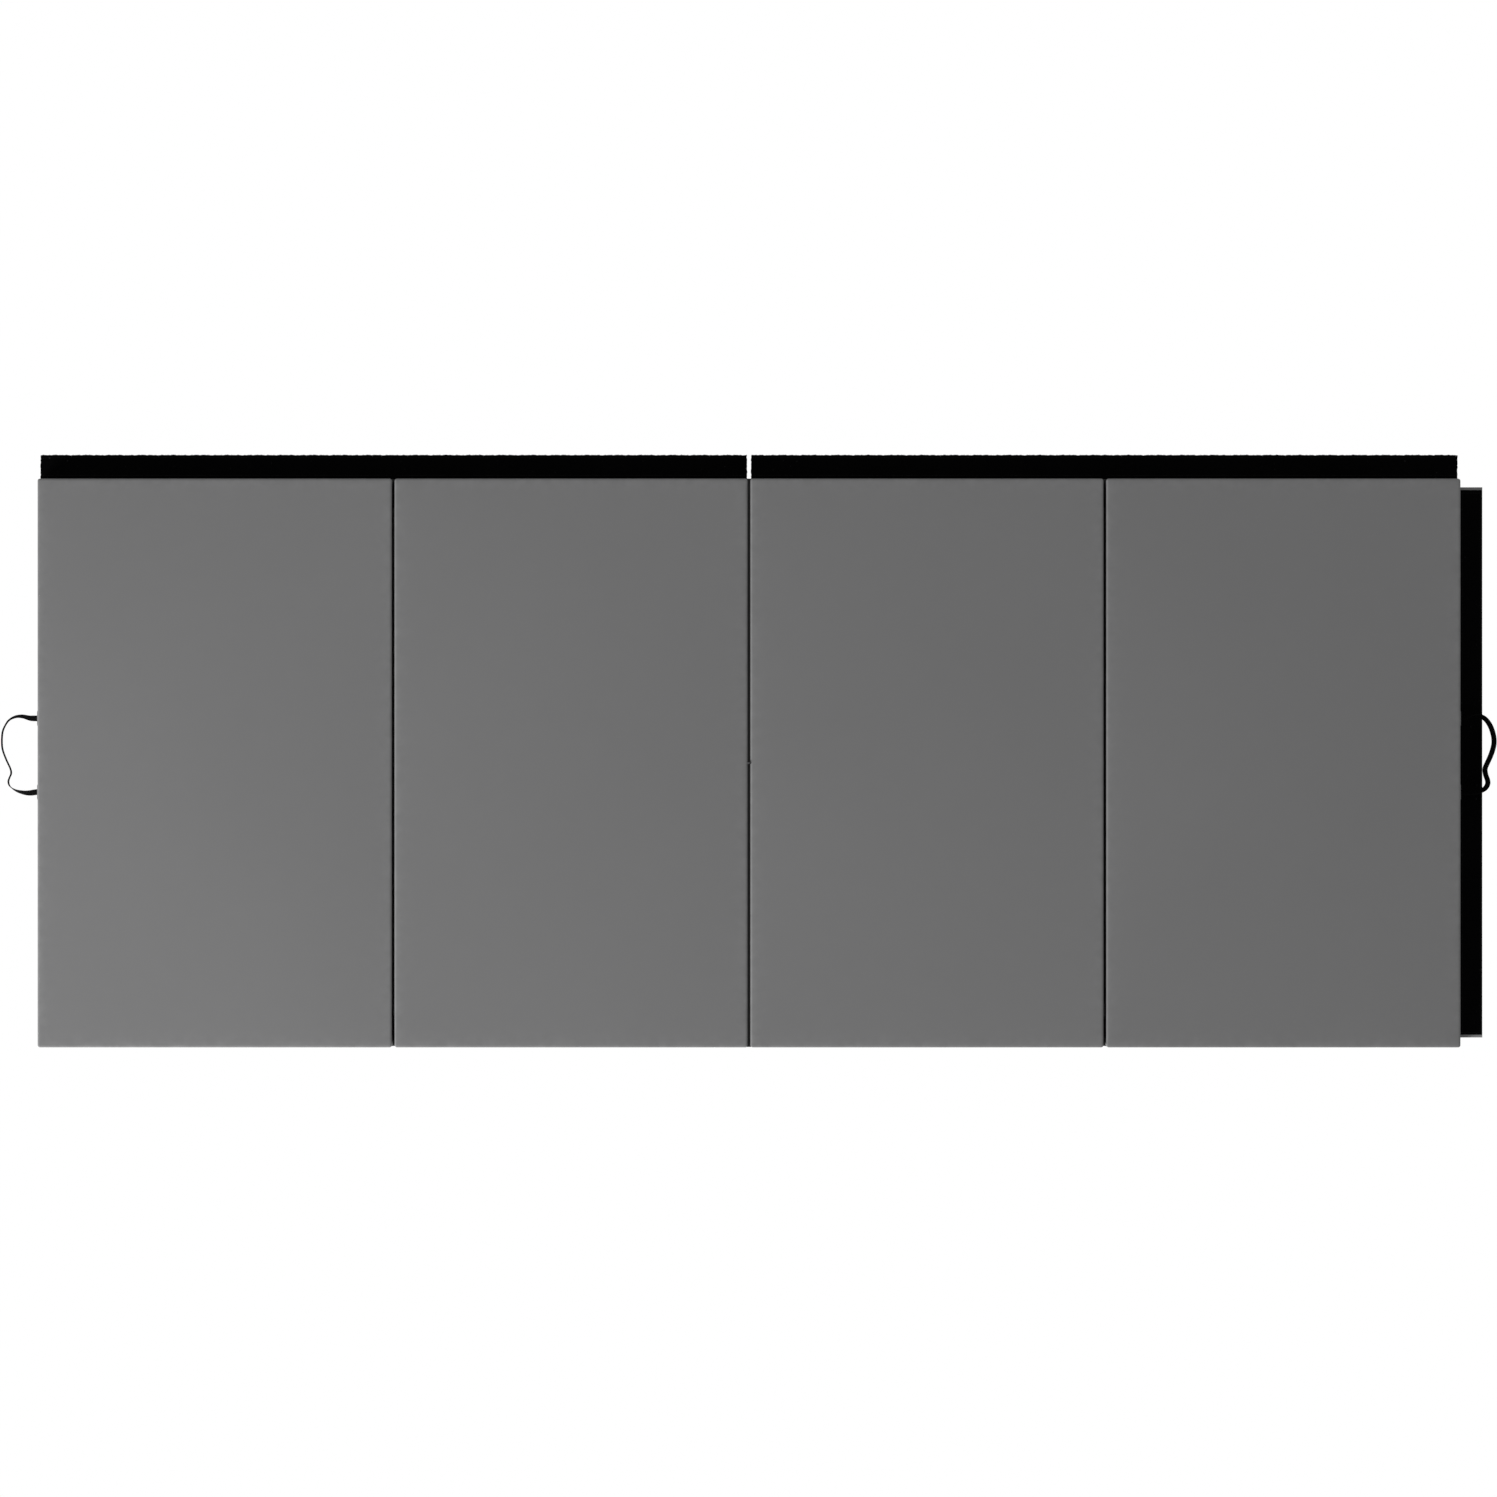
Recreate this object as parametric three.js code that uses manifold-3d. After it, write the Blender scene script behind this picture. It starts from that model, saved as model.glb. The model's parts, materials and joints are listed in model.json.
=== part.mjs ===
// Folding gym mat: four foam-filled panels in sewn vinyl covers, joined edge to edge by hinge webs.
// Hook-and-loop flaps run along the back edge and the right end, and each end has a webbing handle.
// Units are millimetres. +X runs along the row of panels, +Y towards the back flaps and +Z up.
// The origin is on the floor, under the middle of the mat with its flaps and handles.
import * as THREE from "three";
import { mergeVertices } from "three/addons/utils/BufferGeometryUtils.js";
import Module from "manifold-3d";

const wasm = await Module();
wasm.setup();

// Driving dimensions
const MAT_LENGTH = 3048; // 10 ft, opened out
const MAT_WIDTH = 1219.2; // 4 ft
const THICKNESS = 50.8; // 2 in
const PANEL_COUNT = 4;
const GROOVE = 5; // open slot between neighbouring panels
const AIR = 0.3; // gap between pieces that touch
const CORNER_RADIUS = 8; // upright corners of a panel

// Covers and foam
const SHEET = 1; // top cover and boxing
const BASE = 2.2; // bottom cover, thick enough for a hook tape to lie flush in it

// Hook-and-loop flaps and tapes
const FLAP_VINYL = 0.8;
const LOOP_TAPE = 1.1;
const FLAP_LIFT = 0.1; // flap's height over the floor
const FLAP_ROOT = 2.6; // from the wall to the flap's fold line
const BACK_FLAP_REACH = 51.4; // from the back wall to the flap's outer edge
const BACK_FLAP_INSET = 7.5; // short of the mat's corner
const BACK_FLAP_SPLIT = 8.6; // open gap in the back flap between panels 2 and 3
const FLAP_BUTT = 0.6; // gap where the back flap creases over a bottom fold
const END_FLAP_REACH = 47;
const END_FLAP_LENGTH = 1180;
const END_TAPE_INSET = 6; // vinyl left bare at each end of the end flap
const HOOK_TAPE = 1.2;
const HOOK_TAPE_WIDTH = 50;
const HOOK_TAPE_INSET = 5;

// Hinge webs
const WEB = 0.8;
const WEB_DEPTH = 8;
const WEB_INSET = 8; // short of the front and back walls
const WEB_SETBACK = 0.5; // from the floor or the top face

// Zippers, in the walls that face grooves 1|2 and 3|4
const ZIP_LENGTH = 1110;
const ZIP_TAPE_HEIGHT = 20;
const ZIP_CHAIN_HEIGHT = 6;
const ZIP_CHAIN_STAND = 0.8; // how far the teeth stand out of the wall
const ZIP_OUTER_HEIGHT = 21; // panels 1 and 4
const ZIP_INNER_HEIGHT = 36; // panels 2 and 3, higher, so that the sliders pass
const SLIDER_LENGTH = 12;
const SLIDER_HEIGHT = 9;
const SLIDER_THICK = 1.4;
const PULL_LENGTH = 22;
const PULL_HEIGHT = 6;
const PULL_THICK = 1;

// Handles
const STRAP_WIDTH = 25;
const STRAP = 1.6;
const HANDLE_HEIGHT = 25; // middle of the strap where it meets the wall
const HANDLE_PIVOT = 15; // from the wall to the line the loop swings about
const HANDLE_DROOP = 9; // how much lower the loop's far side hangs
const HANDLE_REACH = 76;
const PATCH = 1.5;
const PATCH_SIZE = 32;
const LOOP_STEPS = 44; // lengths that the loop is cut into
const ROOT_STEPS = 4; // and each sewn end
// The loop's middle line in plan: out from the wall, and along it. The first and last points meet the wall.
const HANDLE_ROUTE = [
  [0, 70], [20, 70], [40, 74], [61, 62], [HANDLE_REACH, 26], [67, -18],
  [55.5, -44], [61, -68], [46, -85], [20, -91], [0, -88],
];

const PITCH = MAT_LENGTH / PANEL_COUNT;
const HALF_LENGTH = MAT_LENGTH / 2;
const BACK = (MAT_WIDTH - BACK_FLAP_REACH) / 2;
const FRONT = BACK - MAT_WIDTH;
const MID_WIDTH = (BACK + FRONT) / 2;
const FLAP_TOP = FLAP_LIFT + FLAP_VINYL + AIR + LOOP_TAPE;

const finishes = {
  vinyl: { color: 0x6e6f70, roughness: 0.5, metalness: 0 },
  foam: { color: 0xe4e2da, roughness: 0.9, metalness: 0 },
  loop: { color: 0x0b0b0c, roughness: 0.95, metalness: 0 },
  hook: { color: 0x101011, roughness: 0.8, metalness: 0 },
  webbing: { color: 0x141415, roughness: 0.85, metalness: 0 },
  hinge: { color: 0x18191a, roughness: 0.7, metalness: 0 },
  zipper: { color: 0x1a1a1b, roughness: 0.75, metalness: 0 },
  slider: { color: 0x3a3a3c, roughness: 0.35, metalness: 0.9 },
};

const mat = new THREE.Group();

function add(name, finish, geometry) {
  const mesh = new THREE.Mesh(geometry, new THREE.MeshStandardMaterial(finishes[finish]));
  mesh.name = name;
  mat.add(mesh);
}

// A geometry as a manifold-3d solid.
function solid(geometry) {
  const plain = geometry.index ? geometry.toNonIndexed() : geometry.clone();
  plain.deleteAttribute("normal");
  plain.deleteAttribute("uv");
  const merged = mergeVertices(plain, 1e-4);
  return new wasm.Manifold(
    new wasm.Mesh({
      numProp: 3,
      vertProperties: merged.attributes.position.array,
      triVerts: new Uint32Array(merged.index.array),
    }),
  );
}

// A manifold-3d solid as a geometry.
function geometryOf(made) {
  const mesh = made.getMesh();
  const geometry = new THREE.BufferGeometry();
  geometry.setAttribute("position", new THREE.BufferAttribute(mesh.vertProperties, 3));
  geometry.setIndex(new THREE.BufferAttribute(mesh.triVerts, 1));
  const faceted = geometry.toNonIndexed();
  faceted.computeVertexNormals();
  return faceted;
}

// The first geometry with every tool cut away from it.
function cut(from, tools) {
  return geometryOf(tools.reduce((left, tool) => left.subtract(solid(tool)), solid(from)));
}

function join(first, second) {
  return geometryOf(solid(first).add(solid(second)));
}

function box([x0, x1], [y0, y1], [z0, z1]) {
  const geometry = new THREE.BoxGeometry(x1 - x0, y1 - y0, z1 - z0);
  return geometry.translate((x0 + x1) / 2, (y0 + y1) / 2, (z0 + z1) / 2);
}

// A rectangle with round corners, as a closed path of the given class.
function roundedRect(PathClass, x0, x1, y0, y1, radius) {
  const path = new PathClass();
  path.moveTo(x0 + radius, y0);
  path.absarc(x1 - radius, y0 + radius, radius, -Math.PI / 2, 0);
  path.absarc(x1 - radius, y1 - radius, radius, 0, Math.PI / 2);
  path.absarc(x0 + radius, y1 - radius, radius, Math.PI / 2, Math.PI);
  path.absarc(x0 + radius, y0 + radius, radius, Math.PI, Math.PI * 1.5);
  return path;
}

// A flat shape drawn in plan, raised from z0 to z1.
function slab(shape, z0, z1) {
  const options = { depth: z1 - z0, bevelEnabled: false, curveSegments: 5 };
  return new THREE.ExtrudeGeometry(shape, options).translate(0, 0, z0);
}

// A section drawn in X and Z, carried along Y from y0 to y1.
function alongY(shape, y0, y1) {
  const options = { depth: y1 - y0, bevelEnabled: false, curveSegments: 6 };
  return new THREE.ExtrudeGeometry(shape, options).rotateX(Math.PI / 2).translate(0, y1, 0);
}

// Where panel n lies along X, counted from 1 at the left.
function panelSpan(n) {
  const left = -HALF_LENGTH + (n - 1) * PITCH + (n > 1 ? GROOVE / 2 : 0);
  const right = -HALF_LENGTH + n * PITCH - (n < PANEL_COUNT ? GROOVE / 2 : 0);
  return [left, right];
}

// The zipped wall of panel n: where it is along X, which way it faces, and the zipper's middle height.
function zippedWall(n) {
  const [left, right] = panelSpan(n);
  const facing = n % 2 ? 1 : -1;
  const outer = n === 1 || n === PANEL_COUNT;
  return { x: facing > 0 ? right : left, facing, height: outer ? ZIP_OUTER_HEIGHT : ZIP_INNER_HEIGHT };
}

// Foam block, top sheet, side wall and base sheet of one panel.
function addPanel(n) {
  const [left, right] = panelSpan(n);
  const outline = roundedRect(THREE.Shape, left, right, FRONT, BACK, CORNER_RADIUS);
  const skirtTop = THICKNESS - SHEET - AIR;
  const skirtBottom = BASE + AIR;

  const foamInset = SHEET + AIR;
  const foamOutline = roundedRect(
    THREE.Shape, left + foamInset, right - foamInset, FRONT + foamInset, BACK - foamInset,
    CORNER_RADIUS - foamInset,
  );
  add(`foam_core_${n}`, "foam", slab(foamOutline, skirtBottom, skirtTop));
  add(`top_cover_${n}`, "vinyl", slab(outline, THICKNESS - SHEET, THICKNESS));

  const wall = outline.clone();
  wall.holes.push(
    roundedRect(THREE.Path, left + SHEET, right - SHEET, FRONT + SHEET, BACK - SHEET, CORNER_RADIUS - SHEET),
  );
  const zipped = zippedWall(n);
  const slot = box(
    [zipped.x - SHEET * 2, zipped.x + SHEET * 2],
    [MID_WIDTH - ZIP_LENGTH / 2, MID_WIDTH + ZIP_LENGTH / 2],
    [zipped.height - ZIP_TAPE_HEIGHT / 2, zipped.height + ZIP_TAPE_HEIGHT / 2],
  );
  add(`boxing_${n}`, "vinyl", cut(slab(wall, skirtBottom, skirtTop), [slot]));

  const pockets = hookTapes.filter((tape) => tape.panel === n).map((tape) => {
    const grow = ([low, high]) => [low - AIR, high + AIR];
    return box(grow(tape.x), grow(tape.y), [-1, HOOK_TAPE + AIR]);
  });
  const base = slab(outline, 0, BASE);
  add(`bottom_cover_${n}`, "vinyl", pockets.length ? cut(base, pockets) : base);
}

// Hook tapes lie flush under the front edge of every panel and under the left end of panel 1.
function placeHookTapes() {
  const tapes = [];
  const frontY = [FRONT + HOOK_TAPE_INSET, FRONT + HOOK_TAPE_INSET + HOOK_TAPE_WIDTH];
  for (let n = 1; n <= PANEL_COUNT; n += 1) {
    const [left, right] = panelSpan(n);
    const x = [left + HOOK_TAPE_INSET, right - HOOK_TAPE_INSET];
    tapes.push({ name: `front_hook_tape_${n}`, panel: n, x, y: frontY });
  }
  tapes.push({
    name: "left_hook_tape",
    panel: 1,
    x: [-HALF_LENGTH + HOOK_TAPE_INSET, -HALF_LENGTH + HOOK_TAPE_INSET + HOOK_TAPE_WIDTH],
    y: [frontY[1] + HOOK_TAPE_INSET, BACK - HOOK_TAPE_INSET * 2],
  });
  return tapes;
}

// One half of the zipper is sewn to each side of its slot; closed, the tape and teeth are one strip.
function addZipper(n) {
  const { x, facing, height } = zippedWall(n);
  const section = new THREE.Shape();
  const tapeHalf = ZIP_TAPE_HEIGHT / 2 - AIR;
  const chainHalf = ZIP_CHAIN_HEIGHT / 2;
  const outline = [
    [-SHEET, -tapeHalf], [0, -tapeHalf], [0, -chainHalf], [ZIP_CHAIN_STAND, -chainHalf],
    [ZIP_CHAIN_STAND, chainHalf], [0, chainHalf], [0, tapeHalf], [-SHEET, tapeHalf],
  ];
  section.setFromPoints(outline.map(([out, up]) => new THREE.Vector2(x + facing * out, height + up)));
  const half = ZIP_LENGTH / 2 - AIR;
  add(`zipper_${n}`, "zipper", alongY(section, MID_WIDTH - half, MID_WIDTH + half));

  const first = ZIP_CHAIN_STAND + AIR;
  const across = (from, to) => (facing > 0 ? [x + from, x + to] : [x - to, x - from]);
  const start = MID_WIDTH - half + SLIDER_LENGTH;
  const body = box(
    across(first, first + SLIDER_THICK),
    [start, start + SLIDER_LENGTH],
    [height - SLIDER_HEIGHT / 2, height + SLIDER_HEIGHT / 2],
  );
  const pull = box(
    across(first + SLIDER_THICK / 2, first + SLIDER_THICK + PULL_THICK),
    [start + SLIDER_LENGTH / 3, start + SLIDER_LENGTH / 3 + PULL_LENGTH],
    [height - PULL_HEIGHT / 2, height + PULL_HEIGHT / 2],
  );
  add(`zip_slider_${n}`, "slider", join(body, pull));
}

// A strip bent into a U across a groove, sewn to both walls. It bows away from the face it folds to.
function addHingeWeb(n) {
  const foldsAtTop = n % 2 === 0;
  const middle = -HALF_LENGTH + n * PITCH;
  const outer = GROOVE / 2 - AIR;
  const inner = outer - WEB;
  const bend = WEB_DEPTH - outer;
  const section = new THREE.Shape();
  section.moveTo(-outer, 0);
  section.lineTo(-outer, bend);
  section.absarc(0, bend, outer, Math.PI, 0, true);
  section.lineTo(outer, 0);
  section.lineTo(inner, 0);
  section.lineTo(inner, bend);
  section.absarc(0, bend, inner, 0, Math.PI, false);
  section.lineTo(-inner, 0);
  section.closePath();
  const web = alongY(section, FRONT + WEB_INSET, BACK - WEB_INSET).translate(middle, 0, WEB_SETBACK);
  if (foldsAtTop) {
    web.translate(-middle, -MID_WIDTH, 0).rotateY(Math.PI).translate(middle, MID_WIDTH, THICKNESS);
  }
  add(`hinge_web_${n}${n + 1}`, "hinge", web);
}

// Loop tape on a vinyl backing, one length for each panel, lying on the floor behind the mat.
function addBackFlap(n) {
  const [left, right] = panelSpan(n);
  const atEnd = BACK_FLAP_INSET;
  const atSplit = (BACK_FLAP_SPLIT - GROOVE) / 2;
  const atCrease = (FLAP_BUTT - GROOVE) / 2;
  const leftInset = [atEnd, atCrease, atSplit, atCrease][n - 1];
  const rightInset = [atCrease, atSplit, atCrease, atEnd][n - 1];
  const x = [left + leftInset, right - rightInset];
  const y = [BACK + FLAP_ROOT, BACK + BACK_FLAP_REACH];
  add(`back_flap_${n}`, "vinyl", box(x, y, [FLAP_LIFT, FLAP_LIFT + FLAP_VINYL]));
  add(`back_loop_tape_${n}`, "loop", box(x, y, [FLAP_TOP - LOOP_TAPE, FLAP_TOP]));
}

function addEndFlap() {
  const x = [HALF_LENGTH + FLAP_ROOT, HALF_LENGTH + END_FLAP_REACH];
  const centred = (half) => [MID_WIDTH - half, MID_WIDTH + half];
  const vinylY = centred(END_FLAP_LENGTH / 2);
  const tapeY = centred(END_FLAP_LENGTH / 2 - END_TAPE_INSET);
  add("end_flap", "vinyl", box(x, vinylY, [FLAP_LIFT, FLAP_LIFT + FLAP_VINYL]));
  add("end_loop_tape", "loop", box(x, tapeY, [FLAP_TOP - LOOP_TAPE, FLAP_TOP]));
}

// The plan outline of a strap standing on edge: its middle line thickened to both sides.
function strapPlan(curve, from, to, steps) {
  const sides = [[], []];
  for (let i = 0; i <= steps; i += 1) {
    const at = from + ((to - from) * i) / steps;
    const point = curve.getPointAt(at);
    const along = curve.getTangentAt(at);
    const across = new THREE.Vector2(-along.y, along.x).multiplyScalar(STRAP / 2);
    sides[0].push(point.clone().add(across));
    sides[1].push(point.clone().sub(across));
  }
  return new THREE.Shape([...sides[0], ...sides[1].reverse()]);
}

// The share of the curve's length at which it first or last crosses the given distance from the wall.
function shareAt(curve, side, distance, fromEnd) {
  const finest = 2000;
  for (let i = 0; i <= finest; i += 1) {
    const share = fromEnd ? 1 - i / finest : i / finest;
    if (side * curve.getPointAt(share).x >= HALF_LENGTH + distance) return share;
  }
  throw new Error("the handle never reaches that far");
}

// Lowers each vertex by how far it is past the pivot line, and most at the loop's far side.
function droop(geometry, side) {
  const position = geometry.attributes.position;
  const span = HANDLE_REACH - HANDLE_PIVOT;
  for (let i = 0; i < position.count; i += 1) {
    const past = Math.max(0, side * position.getX(i) - HALF_LENGTH - HANDLE_PIVOT) / span;
    position.setZ(i, position.getZ(i) - HANDLE_DROOP * past ** 2);
  }
  return geometry;
}

// A webbing loop standing on edge. Its sewn ends stay by the wall and the rest swings about the pivot line.
function addHandle(label, side) {
  const points = HANDLE_ROUTE.map(([out, along]) => new THREE.Vector2(side * (HALF_LENGTH + out), along));
  const curve = new THREE.SplineCurve(points);
  const low = HANDLE_HEIGHT - STRAP_WIDTH / 2;
  const high = HANDLE_HEIGHT + STRAP_WIDTH / 2;
  const wallGap = PATCH + 2 * AIR;
  const loopStart = shareAt(curve, side, HANDLE_PIVOT, false);
  const loopEnd = shareAt(curve, side, HANDLE_PIVOT, true);
  const loopPlan = strapPlan(curve, loopStart, loopEnd, LOOP_STEPS);
  add(`${label}_handle`, "webbing", droop(slab(loopPlan, low, high), side));

  const roots = { back: false, front: true };
  for (const [end, fromEnd] of Object.entries(roots)) {
    const from = shareAt(curve, side, wallGap, fromEnd);
    const to = shareAt(curve, side, HANDLE_PIVOT - AIR, fromEnd);
    const plan = strapPlan(curve, Math.min(from, to), Math.max(from, to), ROOT_STEPS);
    add(`${label}_handle_root_${end}`, "webbing", slab(plan, low, high));

    const along = HANDLE_ROUTE.at(fromEnd ? -1 : 0)[1];
    const wall = [HALF_LENGTH + AIR, HALF_LENGTH + AIR + PATCH];
    const x = side > 0 ? wall : [-wall[1], -wall[0]];
    const y = [along - PATCH_SIZE / 2, along + PATCH_SIZE / 2];
    const z = [HANDLE_HEIGHT - PATCH_SIZE / 2, HANDLE_HEIGHT + PATCH_SIZE / 2];
    add(`${label}_handle_patch_${end}`, "vinyl", box(x, y, z));
  }
}

const hookTapes = placeHookTapes();
for (let n = 1; n <= PANEL_COUNT; n += 1) {
  addPanel(n);
  addZipper(n);
  addBackFlap(n);
  if (n < PANEL_COUNT) addHingeWeb(n);
}
for (const tape of hookTapes) {
  add(tape.name, "hook", box(tape.x, tape.y, [0, HOOK_TAPE]));
}
addEndFlap();
addHandle("left", -1);
addHandle("right", 1);

export default mat;
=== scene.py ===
import json
import math

import bpy
import numpy as np
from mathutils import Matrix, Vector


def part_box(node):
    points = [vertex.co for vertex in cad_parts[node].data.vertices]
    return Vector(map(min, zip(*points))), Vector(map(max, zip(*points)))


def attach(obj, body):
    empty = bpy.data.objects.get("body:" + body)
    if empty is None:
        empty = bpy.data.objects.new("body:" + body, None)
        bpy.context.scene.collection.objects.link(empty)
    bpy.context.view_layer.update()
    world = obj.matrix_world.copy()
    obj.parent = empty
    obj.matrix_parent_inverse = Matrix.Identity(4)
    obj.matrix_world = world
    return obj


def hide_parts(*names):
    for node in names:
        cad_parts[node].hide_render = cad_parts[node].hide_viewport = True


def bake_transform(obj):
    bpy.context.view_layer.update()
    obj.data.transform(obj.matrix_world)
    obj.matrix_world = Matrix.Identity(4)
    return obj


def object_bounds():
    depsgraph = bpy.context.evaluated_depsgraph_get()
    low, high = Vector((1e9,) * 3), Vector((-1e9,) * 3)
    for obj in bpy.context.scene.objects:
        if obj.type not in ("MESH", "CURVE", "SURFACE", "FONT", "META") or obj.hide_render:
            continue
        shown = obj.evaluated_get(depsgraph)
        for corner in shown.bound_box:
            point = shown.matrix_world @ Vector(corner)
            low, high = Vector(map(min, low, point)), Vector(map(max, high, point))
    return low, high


bl_info = {
    "name": "Folding Gym Mat", "version": (1, 0, 0), "blender": (4, 5, 0),
    "location": "3D View > Sidebar > Gym Mat",
    "description": "Sewn covers, tapes, zippers and handles of a four-panel folding gym mat",
    "category": "Add Mesh"
}

# ---- The frame, and what is measured on it ----

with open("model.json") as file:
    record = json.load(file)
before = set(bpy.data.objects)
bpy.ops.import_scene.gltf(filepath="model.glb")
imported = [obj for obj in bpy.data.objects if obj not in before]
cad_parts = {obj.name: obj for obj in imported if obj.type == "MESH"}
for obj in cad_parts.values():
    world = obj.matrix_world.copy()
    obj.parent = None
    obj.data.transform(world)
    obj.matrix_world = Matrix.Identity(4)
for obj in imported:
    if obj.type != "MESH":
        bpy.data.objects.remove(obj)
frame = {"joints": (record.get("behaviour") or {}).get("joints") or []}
CAD_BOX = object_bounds()

PANELS = (1, 2, 3, 4)
HINGES = {"12": ("panel_1", "panel_2"), "23": ("panel_2", "panel_3"), "34": ("panel_3", "panel_4")}
TOP_HINGE = "23"
ZIP_FACES = {1: 1.0, 2: -1.0, 3: 1.0, 4: -1.0}


class Box:
    """A CAD node's box at rest, with a short name for each of its six sides."""

    def __init__(self, *nodes):
        corners = [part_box(node) for node in nodes]
        low = np.array([c[0] for c in corners]).min(axis=0)
        high = np.array([c[1] for c in corners]).max(axis=0)
        self.x0, self.y0, self.z0 = low
        self.x1, self.y1, self.z1 = high
        self.x, self.y, self.z = (low + high) / 2


def joint_named(name):
    """The frame's joint of that name."""
    return next(joint for joint in frame["joints"] if joint["name"] == name)


# ---- Sizes and colours that a user may change ----


def length(name, description, default):
    """A length in metres for a property group."""
    return bpy.props.FloatProperty(
        name=name, description=description, default=default, min=0.0, precision=5, subtype="DISTANCE",
        unit="LENGTH"
    )


def colour(name, description, default):
    """A colour for a property group, as linear red, green and blue."""
    return bpy.props.FloatVectorProperty(
        name=name, description=description, default=default, min=0.0, max=1.0, size=3, subtype="COLOR"
    )


class MatSizes(bpy.types.PropertyGroup):
    """Sizes of the sewn work, which the CAD model leaves plain."""

    crown: length("Crown", "How much higher a panel is in its middle than along its edges", 0.0032)
    roll_width: length(
        "Edge roll width", "How far in from the wall the top sheet starts to roll over", 0.0052
    )
    roll_height: length("Edge roll height", "How far the top sheet comes down to its seam", 0.0022)
    seam_pull: length("Seam pull", "How far a seam is pulled in from the wall's middle", 0.0004)
    pucker: length("Pucker", "Depth of the small gathers along a seam", 0.00040)
    sheet: length("Vinyl thickness", "Thickness of the vinyl sheets", 0.0009)
    cell: length("Grid cell", "Distance between points of a panel's sheets", 0.0095)
    selvage_wave: length("Selvage wave", "How far the loop tape's cut edge wanders", 0.0014)
    tape_proud: length("Tape proud", "How far the back loop tape stands past its backing's line", 0.0010)
    tape_spare: length("Tape spare", "Extra length of loop tape left at the mat's outer ends", 0.0060)
    end_proud: length("End tape proud", "How far the end flap stands past its line", 0.0050)
    stitch_pitch: length("Stitch pitch", "Distance from one stitch to the next", 0.0038)
    stitch_length: length("Stitch length", "Length of the thread seen in one stitch", 0.0030)
    thread: length("Thread", "Thickness of the sewing thread", 0.0007)
    zip_opening: length("Zipper opening", "Height of the slot that shows the zipper", 0.0128)
    tooth_pitch: length("Tooth pitch", "Distance from one turn of the zipper's coil to the next", 0.0025)


class MatColours(bpy.types.PropertyGroup):
    """Colours of the mat's materials."""

    cover: colour("Cover vinyl", "Top sheets, walls and flap backing", (0.150, 0.150, 0.151))
    base: colour("Base vinyl", "Under side of the panels", (0.115, 0.115, 0.117))
    foam: colour("Foam", "Foam blocks inside the covers", (0.78, 0.77, 0.73))
    loop: colour("Loop tape", "Soft half of the fastening tape", (0.0012, 0.0012, 0.0013))
    hook: colour("Hook tape", "Stiff half of the fastening tape", (0.010, 0.010, 0.011))
    webbing: colour("Webbing", "Handle straps", (0.0016, 0.0016, 0.0017))
    hinge: colour("Hinge cloth", "Strips that join the panels", (0.013, 0.013, 0.013))
    black_thread: colour("Black thread", "Stitching on the tapes", (0.0024, 0.0024, 0.0025))
    gray_thread: colour("Gray thread", "Stitching on the vinyl", (0.125, 0.125, 0.128))
    zip_tape: colour("Zipper tape", "Woven tape of the zippers", (0.012, 0.012, 0.013))
    enamel: colour("Slider enamel", "Zipper sliders and their pulls", (0.020, 0.020, 0.021))


# ---- Surfaces as whole arrays ----


def quads(rows, columns, round_rows=False, round_columns=False):
    """Faces of a grid of points, and each corner's place in the grid before it closes on itself.

    The face of cell (i, k) runs (i, k), (i+1, k), (i+1, k+1), (i, k+1), counted round where the grid is
    closed.
    """
    i, k = np.meshgrid(
        np.arange(rows if round_rows else rows - 1), np.arange(columns if round_columns else columns - 1),
        indexing="ij"
    )
    i = i.ravel()
    k = k.ravel()
    ci = np.stack([i, i + 1, i + 1, i], axis=1)
    ck = np.stack([k, k, k + 1, k + 1], axis=1)
    return (ci % rows) * columns + ck % columns, (ci, ck)


def new_piece(name, points, faces, finish, uv=None, shares=None, flat_faces=()):
    """A mesh object from points (n, 3) and faces. uv holds one pair for each face corner, and shares one
    value for each point, kept as the attribute seam_share."""
    mesh = bpy.data.meshes.new(name)
    mesh.from_pydata(np.asarray(points, float).reshape(-1, 3).tolist(), [], [list(f) for f in faces])
    smooth = np.ones(len(mesh.polygons), bool)
    smooth[list(flat_faces)] = False
    mesh.polygons.foreach_set("use_smooth", smooth)
    if uv is not None:
        layer = mesh.uv_layers.new(name="UVMap")
        layer.data.foreach_set("uv", np.asarray(uv, np.float32).ravel())
    values = np.zeros(len(mesh.vertices)) if shares is None else np.asarray(shares).ravel()
    attribute = mesh.attributes.new("seam_share", "FLOAT", "POINT")
    attribute.data.foreach_set("value", values.astype(np.float32))
    mesh.update()
    mesh.materials.append(finish)
    piece = bpy.data.objects.new(name, mesh)
    bpy.context.scene.collection.objects.link(piece)
    return piece


def shell(name, upper, lower, finish, uv=None, shares=None):
    """A closed solid between two grids of points of the same size, joined round their border.

    With rows running along x and columns along y, upper's faces look up and lower's look down. uv is a
    grid of pairs, by default the upper grid's own x and y.
    """
    rows, columns = upper.shape[:2]
    count = rows * columns
    top, _ = quads(rows, columns)
    border = np.concatenate(
        [
            np.arange(rows - 1) * columns, (rows - 1) * columns + np.arange(columns - 1),
            (rows - 1 - np.arange(rows - 1)) * columns + columns - 1, columns - 1 - np.arange(columns - 1)
        ]
    )
    following = np.roll(border, -1)
    rim = np.stack([border + count, following + count, following, border], axis=1)
    faces = np.concatenate([top, top[:, ::-1] + count, rim])
    points = np.concatenate([upper.reshape(-1, 3), lower.reshape(-1, 3)])
    flat = (upper[..., :2] if uv is None else uv).reshape(-1, 2)
    corners = np.concatenate([flat, flat])[faces.ravel()]
    both = None if shares is None else np.concatenate([np.ravel(shares), np.ravel(shares)])
    return new_piece(name, points, faces, finish, corners, both)


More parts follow.
